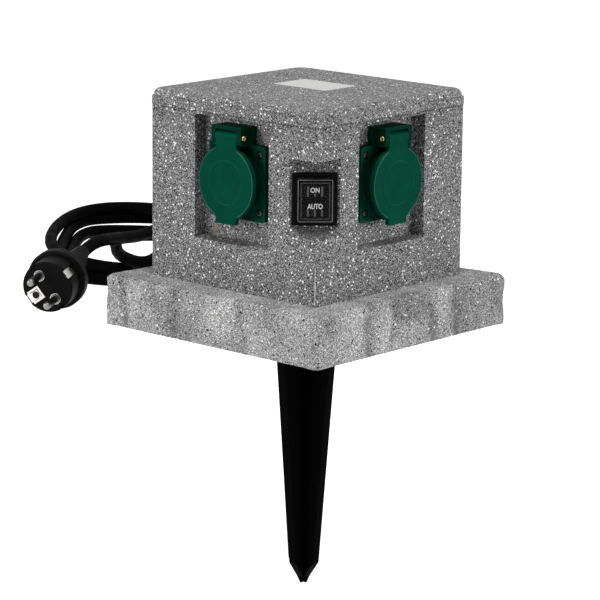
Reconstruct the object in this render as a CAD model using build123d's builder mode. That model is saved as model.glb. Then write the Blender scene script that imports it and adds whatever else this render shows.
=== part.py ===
from build123d import *
import math
import os

# Garden socket: a stone-look cube with a hinged-lid socket in each side, a rocker switch in
# one corner, a cross-shaped ground spike under it and a rubber cord that ends in a plug.
# All sizes are in millimetres. Z 0 is the ground under the base, +Z is up, the front socket
# looks along -Y, the right one along +X, and the switch stands between those two.

# Base plate, moulded to look like a row of hewn stones
base_side = 190.0
base_height = 34.0
base_wall = 6.0
base_top_thickness = 5.0
base_corner_radius = 6.0
base_edge_radius = 3.5
stone_groove_depth = 2.4
stone_groove_radius = 3.0
stone_bulge = 0.6
front_groove_shares = (-0.421, -0.171, 0.147)
right_groove_shares = (-0.226, -0.105, 0.097, 0.237)
back_groove_shares = (-0.316, -0.126, 0.158)
left_groove_shares = (-0.268, -0.063, 0.184)

# Ground spike: a cross of two tapered fins that plugs from below into a holder in the base
spike_length = 183.0
spike_point_length = 16.0
spike_top_half_width = 26.4
spike_point_half_width = 11.3
spike_fin_thickness = 6.0
spike_shoulder = 2.4
spike_tang_thickness = 5.0
spike_tang_length = 24.0
spike_tang_chamfer = 1.0
spike_fit = 0.25
holder_wall = 6.0
holder_arm_thickness = 6.0
holder_arm_height = 20.0

# Housing: an open-topped box with a floor and a deep window in each side
body_side = 148.0
body_corner_radius = 2.5
body_inner_radius = 6.0
body_wall = 3.0
body_floor = 3.0
window_width = 66.0
lower_wall_height = 31.0
window_drop = 41.3
window_rise = 41.4
window_head_margin = 2.3
window_sill_rise = 1.2
window_depth = 10.0
cutout_clearance = 0.4

# Long screws that pull the base, the housing and the roof together from below
tie_place = (40.0, 66.0)
tie_radius = 2.0
tie_hole_radius = 2.25
tie_column_radius = 4.4
tie_post_radius = 4.2
tie_head_radius = 3.8
tie_head_height = 3.0
tie_head_recess = 6.0
tie_head_clearance = 0.4
tie_boss_wall = 4.2
tie_thread_engagement = 6.0
tie_hole_spare = 0.8

# Roof: a cap whose skirt hangs over the upright rim of the housing
roof_skirt_side = 154.0
roof_skirt_height = 5.3
roof_side = 152.0
roof_height = 10.4
roof_corner_radius = 12.0
roof_edge_radius = 4.0
roof_top_thickness = 3.0
roof_rim_gap = 0.3
roof_lip_thickness = 2.0
roof_lip_depth = 7.0
roof_seal_height = 1.2
panel_size = (47.0, 32.0)
panel_place = (-7.0, 14.0)
panel_depth = 0.8
panel_gap = 0.15
panel_corner_radius = 2.0

# Sockets
flange_side = 50.0
flange_thickness = 4.0
flange_corner_radius = 3.0
flange_rim_width = 1.4
flange_rim_height = 0.7
collar_radius = 21.75
well_radius = 19.5
well_depth = 17.5
collar_height = 7.5
sleeve_radius = 21.3
sleeve_length = 14.0
insert_gap = 0.2
insert_length = 14.0
insert_flange_thickness = 3.0
contact_spacing = 19.0
contact_hole_radius = 2.5
contact_hole_length = 3.0
contact_tube_radius = 3.3
contact_tube_bore = 2.6
contact_tube_gap = 0.1
contact_tube_setback = 1.5
contact_tube_length = 14.5
earth_strip_width = 5.0
earth_strip_thickness = 0.8
earth_strip_gap = 0.1
earth_strip_reach = 12.0
earth_strip_bow = 1.6
earth_strip_tail = 4.0
earth_strip_nose = 3.0
flange_screw_spacing = 38.4
flange_screw_radius = 1.5
flange_screw_head_radius = 2.8
flange_screw_head_height = 1.8
flange_screw_head_gap = 0.2
flange_screw_length = 10.0
screw_slot = (3.0, 0.7)
screw_slot_depth = 0.9

# Lid of a socket, with its hinge above the flange
lid_radius = 24.6
lid_thickness = 2.8
lid_neck_width = 18.4
lid_neck_fillet = 2.0
lid_tab_drop = 2.8
lid_edge_radius = 0.7
lid_ring_radius = 15.0
lid_ring_width = 0.9
lid_ring_height = 0.35
gasket_thickness = 0.9
gasket_width = 1.5
seal_gap = 0.3
hinge_rise = 30.2
hinge_setback = 0.5
hinge_pin_radius = 1.6
hinge_pin_clearance = 0.05
hinge_pin_dimple = 0.8
knuckle_radius = 3.6
cheek_gap = 0.4
cheek_thickness = 3.4
hinge_block_height = 12.0
hinge_block_setback = 0.1
hinge_roof_thickness = 2.0
hinge_corner_radius = 2.5
spring_inner_radius = 1.8
spring_outer_radius = 2.8
spring_groove_depth = 0.5
spring_chamber_gap = 0.25
spring_coils = 5
spring_pitch = 1.5
spring_end_gap = 0.5
spring_leg_thickness = 0.8
spring_leg_angle = 15.0
spring_window_offset = 0.3

# Rocker switch on a flat cut across the front right corner
switch_flat_width = 32.7
niche_sill_drop = 17.5
niche_head_rise = 25.9
niche_scoop_drop = 3.8
niche_scoop_fall = 10.0
niche_wall = 3.0
switch_drop = 4.4
bezel_width = 29.4
bezel_height = 34.4
bezel_thickness = 2.0
bezel_corner_radius = 1.2
bezel_edge_chamfer = 0.5
switch_body_width = 25.0
switch_body_height = 30.0
switch_body_depth = 22.0
switch_cavity_depth = 13.0
boot_width = 23.0
boot_height = 28.0
boot_rise = 7.0
boot_wall = 0.8
boot_corner_radius = 1.6
rocker_width = 19.0
rocker_height = 23.0
rocker_gap = 0.4
rocker_pivot_depth = 2.0
rocker_throw = 20.0
rocker_shoulder_drop = 3.0
rocker_back_radius = 7.5
rocker_back_half_width = 7.0
rocker_edge_radius = 0.5
rocker_axle_radius = 1.2
rocker_axle_clearance = 0.05
rocker_axle_length = 1.0
switch_tab_size = (4.8, 0.8)
switch_tab_length = 7.0
switch_tab_spacing = (11.0, 13.0)

# Receiver board for the AUTO position, and the terminal strip
board_side = 72.0
board_thickness = 1.6
standoff_height = 6.0
standoff_radius = 3.0
standoff_spacing = 62.0
relay_size = (20.0, 15.5, 20.0)
relay_place = (18.0, -14.0)
relay_edge_chamfer = 0.6
capacitor_radius = 6.5
capacitor_height = 20.0
capacitor_place = (-20.0, -16.0)
capacitor_edge_radius = 0.8
terminal_size = (40.0, 16.0, 14.0)
terminal_place = (-6.0, 20.0)
terminal_ways = 5
terminal_screw_radius = 1.8
terminal_wire_radius = 1.5

# Cord gland low in the left side
gland_rise = 13.0
gland_hex_radius = 10.0
gland_locknut_radius = 9.5
gland_flange_thickness = 4.0
gland_thread_radius = 7.6
gland_thread_length = 9.0
gland_locknut_thickness = 4.0
gland_nut_length = 9.0
gland_nut_shoulder = 0.5
gland_nut_end_radius = 7.5
gland_boot_length = 13.0
gland_boot_radius = 6.0
gland_boot_end_radius = 4.8
gland_boot_ribs = 3
gland_bore_radius = 4.4

# Cord: its points are chosen along the way it lies. The lead drops from the gland, crosses the
# near end of the coil and runs down into the loop, and the plug's lead crosses above it.
cord_radius = 4.0
cord_run_share = 0.45
lead_first_run = 21.0
lead_route = (
    (-141.0, -4.0, 23.5),
    (-163.0, -8.0, 19.8),
    (-183.5, 3.5, 20.5),
    (-206.0, 25.0, 16.5),
    (-245.0, 60.5, 8.5),
    (-281.0, 93.0, 4.4),
)
lead_end = (-306.4, 118.0, 4.4)
plug_lead_first_run = 20.0
plug_lead_route = (
    (-192.5, -5.0, 28.5),
    (-206.0, 20.0, 26.2),
    (-220.0, 46.0, 21.5),
    (-232.0, 74.0, 16.0),
)
plug_lead_end = (-243.0, 99.5, 12.0)

# Coil of three turns, a long loop that lies on the ground behind the left side
coil_centre = (-247.3, 60.6)
coil_direction = (-0.6699, 0.7424)
coil_length = 200.0
coil_width = 94.0
coil_section_width = 18.0
coil_near_height = 16.0
coil_far_height = 25.0
coil_edge_radius = 3.0

# Plug at the far end of the cord
plug_face = (-140.9, -106.7, 19.7)
plug_axis = (0.4586, -0.8853, -0.078)
plug_pin_line = (0.484, 0.322, -0.8136)
plug_face_radius = 17.8
plug_face_length = 17.0
plug_face_edge = 1.2
plug_grip_radius = 20.8
plug_grip_length = 9.0
plug_grip_edge = 2.0
plug_back_length = 20.0
plug_back_radius = 8.0
plug_back_waist = 11.5
plug_relief_length = 26.0
plug_relief_radius = 6.6
plug_relief_end_radius = 4.9
plug_relief_ribs = 5
plug_relief_groove = 0.9
plug_notch_width = 6.6
plug_notch_depth = 3.0
plug_guide_width = 5.0
plug_guide_depth = 2.4
pin_spacing = 19.0
pin_radius = 2.4
pin_length = 19.0
pin_nose = 1.4
pin_root_length = 10.0
pin_collar_radius = 3.2
pin_collar_height = 0.6
earth_hole_offset = 10.0
earth_hole_radius = 2.6
earth_sleeve_radius = 3.4
earth_sleeve_length = 14.0
earth_plate_side = 9.4
earth_plate_thickness = 0.6
earth_clip_width = 6.0
earth_clip_length = 15.0
earth_clip_thickness = 1.2

# Places that follow from the sizes above
base_hollow_height = base_height - base_top_thickness
body_bottom = base_height
window_sill_height = body_bottom + lower_wall_height
socket_height = window_sill_height + window_drop
window_head_height = socket_height + window_rise
body_top = window_head_height + window_head_margin
body_height = body_top - body_bottom
half_body = body_side / 2
half_base = base_side / 2
inner_half = half_body - body_wall
recess_back = half_body - window_depth
flange_front = recess_back + flange_thickness
collar_front = flange_front + collar_height
well_bottom = collar_front - well_depth
sleeve_back = recess_back - sleeve_length
lid_back = collar_front + seal_gap + gasket_thickness
lid_front = lid_back + lid_thickness
hinge_depth = lid_back - hinge_setback
hinge_height = socket_height + hinge_rise
cheek_inner = lid_neck_width / 2 + cheek_gap
cheek_outer = cheek_inner + cheek_thickness
hinge_block_front = lid_front - hinge_block_setback
hinge_block_bottom = socket_height + flange_side / 2
hinge_block_top = hinge_block_bottom + hinge_block_height
spring_chamber_radius = spring_outer_radius + spring_chamber_gap
spring_half_length = spring_coils * spring_pitch / 2
switch_height = socket_height - switch_drop
niche_sill_height = switch_height - niche_sill_drop
niche_head_height = switch_height + niche_head_rise
flat_distance = body_side / math.sqrt(2) - switch_flat_width / 2
corner_distance = body_side / math.sqrt(2)
rocker_pivot_distance = flat_distance + bezel_thickness - rocker_pivot_depth
rocker_tip_rise = rocker_height / 2 * math.tan(math.radians(rocker_throw / 2))
rocker_tip_radius = math.hypot(rocker_height / 2, rocker_pivot_depth + rocker_tip_rise)
rocker_opening = (rocker_width + 2 * rocker_gap, 2 * (rocker_tip_radius + rocker_gap))
roof_underside = body_top + roof_height - roof_top_thickness
rim_top = roof_underside - roof_seal_height
board_bottom = body_bottom + body_floor + standoff_height
board_top = board_bottom + board_thickness
gland_height = body_bottom + gland_rise
side_names = ("front", "right", "back", "left")


def side_plane(depth, height=socket_height):
    """A plane across the front side, looking out; depth counts outwards from the centre."""
    return Plane(origin=(0, -depth, height), x_dir=(1, 0, 0), z_dir=(0, -1, 0))


def corner_plane(distance, height=switch_height):
    """A plane across the front right corner, looking out."""
    share = distance / math.sqrt(2)
    return Plane(origin=(share, -share, height), x_dir=(1, 1, 0), z_dir=(1, -1, 0))


def hinge_side_plane():
    """The middle plane of the front lid's hinge: local X points inwards, local Y points up."""
    return Plane(origin=(0, -hinge_depth, hinge_height), x_dir=(0, 1, 0), z_dir=(1, 0, 0))


def gland_plane(depth):
    """A plane across the left side at the gland, looking out."""
    return Plane(origin=(-depth, 0, gland_height), x_dir=(0, -1, 0), z_dir=(-1, 0, 0))


def plug_plane(advance):
    """A plane across the plug, looking the way the pins point; advance counts from its face."""
    spot = Vector(*plug_face) + Vector(*plug_axis).normalized() * advance
    return Plane(origin=spot, x_dir=plug_pin_line, z_dir=plug_axis)


def quarter_turned(point, turns):
    """A point of the front side carried round to another side."""
    x, y = point
    for _ in range(turns):
        x, y = -y, x
    return x, y


def tie_points():
    """The places of the long screws, one near each corner."""
    return [quarter_turned((tie_place[0], -tie_place[1]), turns) for turns in range(4)]


def save(part, node):
    """Label a finished piece and write it under its name."""
    part.label = node
    export_step(part, f"parts/{node}.step")


def save_on_sides(part, ending):
    """Write a piece of the front socket once for each of the four sides."""
    for turns, side in enumerate(side_names):
        save(part.rotate(Axis.Z, 90 * turns), f"{side}_{ending}")


def rounded_square(side, radius):
    """A square plan with rounded corners."""
    with BuildSketch() as square:
        RectangleRounded(side, side, radius)
    return square.sketch


def stone_plan():
    """The plan of the base: a bulging stone between each pair of grooves."""
    groove_line = half_base - stone_groove_depth
    all_shares = (front_groove_shares, right_groove_shares, back_groove_shares, left_groove_shares)
    with BuildSketch() as plan:
        with BuildLine():
            for turns, shares in enumerate(all_shares):
                stops = [(-half_base, -half_base)]
                stops += [(share * base_side, -groove_line) for share in shares]
                stops += [(half_base, -half_base)]
                for start, end in zip(stops, stops[1:]):
                    crest = ((start[0] + end[0]) / 2, -half_base - stone_bulge)
                    ThreePointArc(*(quarter_turned(point, turns) for point in (start, crest, end)))
        make_face()
        corners = [v for v in plan.vertices() if min(abs(v.X), abs(v.Y)) > half_base - 1]
        fillet(corners, base_corner_radius)
        grooves = [v for v in plan.vertices() if abs(max(abs(v.X), abs(v.Y)) - groove_line) < 0.01]
        fillet(grooves, stone_groove_radius)
    return plan.sketch


def make_base():
    """A hollow stone-look plate, open below, with holes for the long screws in its top."""
    hollow_side = base_side - 2 * (base_wall + stone_groove_depth)
    with BuildPart() as base:
        add(stone_plan())
        extrude(amount=base_height)
        fillet(base.faces().sort_by(Axis.Z)[-1].edges(), base_edge_radius)
        add(rounded_square(hollow_side, base_corner_radius))
        extrude(amount=base_hollow_height, mode=Mode.SUBTRACT)
        with BuildSketch():
            with Locations(*tie_points()):
                Circle(tie_hole_radius)
        extrude(amount=base_height, mode=Mode.SUBTRACT)
    return base.part


def make_spike_holder():
    """The socket of the spike, with four arms that the long screws pull up under the base."""
    tang_half_width = spike_top_half_width - spike_shoulder
    slot_size = (2 * (tang_half_width + spike_fit), spike_tang_thickness + 2 * spike_fit)
    with BuildPart() as holder:
        with BuildSketch():
            Circle(tang_half_width + holder_wall)
            with Locations(*tie_points()):
                Circle(tie_hole_radius + tie_boss_wall)
        extrude(amount=base_hollow_height)
        with BuildSketch(Plane.XY.offset(base_hollow_height - holder_arm_height)):
            for x, y in tie_points():
                angle = math.degrees(math.atan2(y, x))
                with Locations(Location((x / 2, y / 2, 0), (0, 0, angle))):
                    Rectangle(math.hypot(x, y), holder_arm_thickness)
        extrude(amount=holder_arm_height)
        with BuildSketch():
            Rectangle(*slot_size)
            Rectangle(*slot_size, rotation=90)
        extrude(amount=spike_tang_length + spike_fit, mode=Mode.SUBTRACT)
        with BuildSketch():
            with Locations(*tie_points()):
                Circle(tie_head_radius + tie_head_clearance)
        extrude(amount=tie_head_recess, mode=Mode.SUBTRACT)
        with BuildSketch():
            with Locations(*tie_points()):
                Circle(tie_hole_radius)
        extrude(amount=base_height, mode=Mode.SUBTRACT)
    return holder.part


def make_spike():
    """Two tapered fins that cross on the axis, with a tang that fills the slot in the holder."""
    taper_end = -(spike_length - spike_point_length)
    tang_half_width = spike_top_half_width - spike_shoulder
    with BuildPart() as spike:
        for plane in (Plane.XZ, Plane.YZ):
            with BuildSketch(plane):
                with BuildLine():
                    Polyline(
                        (spike_top_half_width, 0),
                        (spike_point_half_width, taper_end),
                        (0, -spike_length),
                        (-spike_point_half_width, taper_end),
                        (-spike_top_half_width, 0),
                        close=True,
                    )
                make_face()
            extrude(amount=spike_fin_thickness / 2, both=True)
            with BuildSketch(plane):
                Rectangle(2 * tang_half_width, spike_tang_length, align=(Align.CENTER, Align.MIN))
            extrude(amount=spike_tang_thickness / 2, both=True)
        tang_top = spike.faces().sort_by(Axis.Z)[-1]
        chamfer(tang_top.edges(), spike_tang_chamfer)
    return spike.part


def make_tie_screws():
    """Four long screws from below the base up into the roof."""
    head_bottom = tie_head_recess - tie_head_height
    tip = body_top + tie_thread_engagement
    with BuildPart() as screws:
        with Locations(*[(x, y, head_bottom) for x, y in tie_points()]):
            Cylinder(tie_head_radius, tie_head_height, align=(Align.CENTER, Align.CENTER, Align.MIN))
            Cylinder(tie_radius, tip - head_bottom, align=(Align.CENTER, Align.CENTER, Align.MIN))
        with BuildSketch(Plane.XY.offset(head_bottom)):
            with Locations(*tie_points()):
                RegularPolygon(tie_radius, 6)
        extrude(amount=tie_head_height / 2, mode=Mode.SUBTRACT)
    return screws.part


def window_pocket(turns):
    """The walls of one window, before its opening is cut."""
    half_width = window_width / 2 + body_wall
    with BuildPart() as pocket:
        with BuildSketch(Plane.XY.offset(window_sill_height - body_wall)):
            with Locations((0, -(half_body + recess_back - body_wall) / 2)):
                Rectangle(2 * half_width, window_depth + body_wall)
        extrude(amount=body_top - window_sill_height + body_wall)
    return pocket.part.rotate(Axis.Z, 90 * turns)


def window_opening(turns):
    """What one window cuts away: the recess with its rising sill, and the holes in its back."""
    with BuildPart() as opening:
        with BuildSketch(Plane.YZ):
            with BuildLine():
                Polyline(
                    (-half_body - 1, window_sill_height),
                    (-recess_back, window_sill_height + window_sill_rise),
                    (-recess_back, window_head_height),
                    (-half_body - 1, window_head_height),
                    close=True,
                )
            make_face()
        extrude(amount=window_width / 2, both=True)
        with BuildSketch(side_plane(recess_back)):
            Circle(sleeve_radius + cutout_clearance)
            with GridLocations(flange_screw_spacing, flange_screw_spacing, 2, 2):
                Circle(flange_screw_radius)
        extrude(amount=-body_wall)
    return opening.part.rotate(Axis.Z, 90 * turns)


def corner_block():
    """The solid corner behind the switch, before its niche is cut."""
    bottom = niche_sill_height - niche_scoop_drop - niche_wall
    bottom -= switch_flat_width / 2 * math.tan(math.radians(niche_scoop_fall))
    leg = math.sqrt(2) * (corner_distance - flat_distance + niche_wall)
    with BuildPart() as block:
        with BuildSketch(Plane.XY.offset(bottom)) as plan:
            with BuildLine():
                Polyline(
                    (half_body - leg, -half_body),
                    (half_body, -half_body),
                    (half_body, -half_body + leg),
                    close=True,
                )
            make_face()
            fillet(plan.vertices().sort_by(Axis((0, 0, 0), (1, -1, 0)))[-1], body_corner_radius)
        extrude(amount=niche_head_height + niche_wall - bottom)
    return block.part


def switch_niche():
    """What the switch corner cuts away: a flat with a level head and a scooped, falling sill."""
    reach = switch_flat_width / 2 + 5
    fall = math.tan(math.radians(niche_scoop_fall))
    with BuildPart() as niche:
        with BuildSketch(corner_plane(flat_distance, niche_sill_height)):
            Rectangle(
                2 * switch_flat_width,
                niche_head_height - niche_sill_height,
                align=(Align.CENTER, Align.MIN),
            )
        extrude(amount=reach)
        with BuildSketch(corner_plane(flat_distance, niche_sill_height)):
            with BuildLine():
                half_flat = switch_flat_width / 2
                ThreePointArc((-half_flat, 0), (0, -niche_scoop_drop), (half_flat, 0))
                Polyline((half_flat, 0), (half_flat, reach), (-half_flat, reach), (-half_flat, 0))
            make_face()
        extrude(amount=reach, dir=(1, -1, -math.sqrt(2) * fall))
        with BuildSketch(corner_plane(flat_distance)):
            Rectangle(
                switch_body_width + 2 * cutout_clearance,
                switch_body_height + 2 * cutout_clearance,
            )
        extrude(amount=-niche_wall)
    return niche.part


def make_housing():
    """The box with four windows, the switch corner, screw columns and board standoffs."""
    column_height = body_height - body_floor
    with BuildPart() as housing:
        with BuildSketch(Plane.XY.offset(body_bottom)):
            RectangleRounded(body_side, body_side, body_corner_radius)
        extrude(amount=body_height)
        with BuildSketch(Plane.XY.offset(body_bottom + body_floor)):
            RectangleRounded(2 * inner_half, 2 * inner_half, body_inner_radius)
        extrude(amount=body_height, mode=Mode.SUBTRACT)
        with BuildSketch(Plane.XY.offset(body_top)):
            RectangleRounded(body_side, body_side, body_inner_radius + body_wall)
            RectangleRounded(2 * inner_half, 2 * inner_half, body_inner_radius, mode=Mode.SUBTRACT)
        extrude(amount=rim_top - body_top)
        with BuildSketch(Plane.XY.offset(body_bottom + body_floor)):
            with Locations(*tie_points()):
                Circle(tie_column_radius)
        extrude(amount=column_height)
        with BuildSketch(Plane.XY.offset(body_bottom + body_floor)):
            with GridLocations(standoff_spacing, standoff_spacing, 2, 2):
                Circle(standoff_radius)
        extrude(amount=standoff_height)
        for turns in range(4):
            add(window_pocket(turns))
        add(corner_block())
        for turns in range(4):
            add(window_opening(turns), mode=Mode.SUBTRACT)
        add(switch_niche(), mode=Mode.SUBTRACT)
        with BuildSketch(Plane.XY.offset(body_bottom)):
            with Locations(*tie_points()):
                Circle(tie_hole_radius)
        extrude(amount=body_height, mode=Mode.SUBTRACT)
        with BuildSketch(gland_plane(half_body)):
            Circle(gland_thread_radius)
        extrude(amount=-body_wall, mode=Mode.SUBTRACT)
    return housing.part


def make_roof():
    """A cap with an overhanging skirt, a lip inside the rim and posts for the long screws."""
    skirt_inner_side = body_side + 2 * roof_rim_gap
    rim_radius = body_inner_radius + body_wall
    lip_side = 2 * (inner_half - roof_rim_gap)
    lip_radius = body_inner_radius - roof_rim_gap
    skirt_top = body_top + roof_skirt_height
    roof_top = body_top + roof_height
    with BuildPart() as roof:
        with BuildSketch(Plane.XY.offset(body_top)):
            RectangleRounded(roof_skirt_side, roof_skirt_side, roof_corner_radius)
        extrude(amount=roof_skirt_height)
        with BuildSketch(Plane.XY.offset(skirt_top)):
            RectangleRounded(roof_side, roof_side, roof_corner_radius)
        extrude(amount=roof_height - roof_skirt_height)
        fillet(roof.faces().sort_by(Axis.Z)[-1].edges(), roof_edge_radius)
        with BuildSketch(Plane.XY.offset(body_top)):
            RectangleRounded(skirt_inner_side, skirt_inner_side, rim_radius + roof_rim_gap)
        extrude(amount=roof_underside - body_top, mode=Mode.SUBTRACT)
        with BuildSketch(Plane.XY.offset(roof_underside)):
            RectangleRounded(lip_side, lip_side, lip_radius)
            inner_side = lip_side - 2 * roof_lip_thickness
            RectangleRounded(inner_side, inner_side, lip_radius - roof_lip_thickness, mode=Mode.SUBTRACT)
        extrude(amount=-roof_lip_depth)
        with BuildSketch(Plane.XY.offset(body_top)):
            with Locations(*tie_points()):
                Circle(tie_post_radius)
        extrude(amount=roof_underside - body_top)
        with BuildSketch(Plane.XY.offset(body_top)):
            with Locations(*tie_points()):
                Circle(tie_radius)
        extrude(amount=tie_thread_engagement + tie_hole_spare, mode=Mode.SUBTRACT)
        with BuildSketch(Plane.XY.offset(roof_top)):
            with Locations(panel_place):
                RectangleRounded(*panel_size, panel_corner_radius)
        extrude(amount=-panel_depth, mode=Mode.SUBTRACT)
    return roof.part


def make_roof_seal():
    """The soft ring on the rim of the housing."""
    with BuildPart() as seal:
        with BuildSketch(Plane.XY.offset(rim_top)):
            RectangleRounded(body_side, body_side, body_inner_radius + body_wall)
            RectangleRounded(2 * inner_half, 2 * inner_half, body_inner_radius, mode=Mode.SUBTRACT)
        extrude(amount=roof_seal_height)
    return seal.part


def make_top_panel():
    """The bare panel that fills the shallow recess in the roof."""
    width, depth = (size - 2 * panel_gap for size in panel_size)
    with BuildPart() as panel:
        with BuildSketch(Plane.XY.offset(body_top + roof_height - panel_depth)):
            with Locations(panel_place):
                RectangleRounded(width, depth, panel_corner_radius - panel_gap)
        extrude(amount=panel_depth)
    return panel.part


def make_frame():
    """Flange, collar and sleeve of a socket, with the two cheeks of the hinge above them."""
    block_middle = (-(hinge_block_front + recess_back) / 2, (hinge_block_bottom + hinge_block_top) / 2)
    with BuildPart() as frame:
        with BuildSketch(side_plane(recess_back)):
            RectangleRounded(flange_side, flange_side, flange_corner_radius)
        extrude(amount=flange_thickness)
        with BuildSketch(side_plane(flange_front)):
            RectangleRounded(flange_side, flange_side, flange_corner_radius)
            inner_side = flange_side - 2 * flange_rim_width
            inner_radius = flange_corner_radius - flange_rim_width
            RectangleRounded(inner_side, inner_side, inner_radius, mode=Mode.SUBTRACT)
        extrude(amount=flange_rim_height)
        with BuildSketch(side_plane(flange_front)):
            Circle(collar_radius)
        extrude(amount=collar_height)
        with BuildSketch(side_plane(recess_back)):
            Circle(sleeve_radius)
        extrude(amount=-sleeve_length)
        with BuildSketch(side_plane(collar_front)):
            Circle(well_radius)
        extrude(amount=-(collar_front - sleeve_back), mode=Mode.SUBTRACT)
        with BuildSketch(Plane.YZ) as block:
            with Locations(block_middle):
                Rectangle(hinge_block_front - recess_back, hinge_block_height)
            front_corners = block.vertices().sort_by(Axis.Y)[:2]
            fillet(front_corners, hinge_corner_radius)
        extrude(amount=cheek_outer, both=True)
        with BuildSketch(side_plane(flange_front, hinge_block_bottom)):
            Rectangle(
                2 * cheek_inner,
                hinge_block_height - hinge_roof_thickness,
                align=(Align.CENTER, Align.MIN),
            )
        extrude(amount=hinge_block_front - flange_front, mode=Mode.SUBTRACT)
        with BuildSketch(hinge_side_plane()):
            Circle(hinge_pin_radius)
        extrude(amount=cheek_outer, both=True, mode=Mode.SUBTRACT)
        with BuildSketch(side_plane(flange_front)):
            with GridLocations(flange_screw_spacing, flange_screw_spacing, 2, 2):
                Circle(flange_screw_head_radius + flange_screw_head_gap)
        extrude(amount=-flange_screw_head_height, mode=Mode.SUBTRACT)
        with BuildSketch(side_plane(flange_front)):
            with GridLocations(flange_screw_spacing, flange_screw_spacing, 2, 2):
                Circle(flange_screw_radius)
        extrude(amount=-flange_thickness, mode=Mode.SUBTRACT)
    return frame.part


def upper_earth_strip():
    """The upper earth strip, bowed towards the axis near its tip."""
    place = well_radius - insert_gap - earth_strip_gap - earth_strip_thickness / 2
    tail = well_bottom - insert_length - earth_strip_tail
    tip = well_bottom + earth_strip_reach
    strip_plane = Plane(origin=(0, 0, socket_height), x_dir=(0, 1, 0), z_dir=(1, 0, 0))
    with BuildPart() as strip:
        with BuildSketch(strip_plane):
            with BuildLine() as side_view:
                Polyline(
                    (-tail, place),
                    (-well_bottom, place),
                    (-tip + earth_strip_nose, place - earth_strip_bow),
                    (-tip, place - earth_strip_bow / 2),
                )
            trace(side_view.edges(), earth_strip_thickness)
        extrude(amount=earth_strip_width / 2, both=True)
    return strip.part


def make_insert():
    """The face of a socket: contact holes with chambers behind them and slots for the earth."""
    plug_radius = well_radius - insert_gap
    with BuildPart() as insert:
        with BuildSketch(side_plane(well_bottom)):
            Circle(plug_radius)
        extrude(amount=-insert_length)
        with BuildSketch(side_plane(sleeve_back)):
            Circle(sleeve_radius)
        extrude(amount=-insert_flange_thickness)
        with BuildSketch(side_plane(well_bottom)):
            with GridLocations(contact_spacing, 1, 2, 1):
                Circle(contact_hole_radius)
        extrude(amount=-contact_hole_length, mode=Mode.SUBTRACT)
        with BuildSketch(side_plane(well_bottom - contact_hole_length)):
            with GridLocations(contact_spacing, 1, 2, 1):
                Circle(contact_tube_radius + contact_tube_gap)
        extrude(amount=-insert_length, mode=Mode.SUBTRACT)
        slot_height = earth_strip_thickness + 2 * earth_strip_gap
        slot_middle = plug_radius - slot_height / 2
        with BuildSketch(side_plane(well_bottom)):
            with Locations((0, slot_middle), (0, -slot_middle)):
                Rectangle(earth_strip_width + 2 * earth_strip_gap, slot_height)
        extrude(amount=-insert_length, mode=Mode.SUBTRACT)
    return insert.part


def make_contacts():
    """Two brass tubes behind the holes and two bowed earth strips along the well."""
    strip = upper_earth_strip()
    with BuildPart() as contacts:
        with BuildSketch(side_plane(well_bottom - contact_hole_length - contact_tube_setback)):
            with GridLocations(contact_spacing, 1, 2, 1):
                Circle(contact_tube_radius)
                Circle(contact_tube_bore, mode=Mode.SUBTRACT)
        extrude(amount=-contact_tube_length)
        add(strip)
        add(strip.mirror(Plane.XY.offset(socket_height)))
    return contacts.part


def lid_plan():
    """Outline of a lid: a disc with a neck up to the hinge and a thumb tab below."""
    with BuildSketch() as plan:
        Circle(lid_radius)
        Rectangle(lid_neck_width, hinge_rise, align=(Align.CENTER, Align.MIN))
        Rectangle(lid_neck_width, lid_radius + lid_tab_drop, align=(Align.CENTER, Align.MAX))
        shoulder = math.sqrt(lid_radius**2 - (lid_neck_width / 2) ** 2)
        fillet([v for v in plan.vertices() if abs(abs(v.Y) - shoulder) < 0.01], lid_neck_fillet)
        fillet(plan.vertices().sort_by(Axis.Y)[:2], lid_neck_fillet)
    return plan.sketch


def make_lid():
    """A lid with its knuckle, hollowed in the middle for the spring and open to the back."""
    chamber_half = spring_half_length + spring_end_gap
    with BuildPart() as lid:
        with BuildSketch(side_plane(lid_back)):
            add(lid_plan())
        extrude(amount=lid_thickness)
        front = lid.faces().sort_by(Axis.Y)[0]
        fillet(front.edges(), lid_edge_radius)
        with BuildSketch(side_plane(lid_front)):
            Circle(lid_ring_radius)
            Circle(lid_ring_radius - lid_ring_width, mode=Mode.SUBTRACT)
        extrude(amount=lid_ring_height)
        with BuildSketch(hinge_side_plane()):
            Circle(knuckle_radius)
        extrude(amount=lid_neck_width / 2, both=True)
        with BuildSketch(hinge_side_plane()):
            Circle(hinge_pin_radius + hinge_pin_clearance)
        extrude(amount=lid_neck_width, both=True, mode=Mode.SUBTRACT)
        with BuildSketch(hinge_side_plane()):
            Circle(spring_chamber_radius)
            with Locations((-spring_window_offset, 0)):
                Rectangle(2 * knuckle_radius, 3 * knuckle_radius, align=(Align.MIN, Align.CENTER))
        extrude(amount=chamber_half, both=True, mode=Mode.SUBTRACT)
    return lid.part


def make_hinge_pin():
    """The brass pin of a lid, with a dimple in each end."""
    with BuildPart() as pin:
        with BuildSketch(Plane(origin=(0, -hinge_depth, hinge_height), z_dir=(1, 0, 0))):
            Circle(hinge_pin_radius)
        extrude(amount=cheek_outer, both=True)
        ends = pin.faces().filter_by(Axis.X)
        with BuildSketch(*ends):
            Circle(hinge_pin_dimple)
        extrude(amount=-hinge_pin_dimple / 2, mode=Mode.SUBTRACT)
    return pin.part


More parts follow.
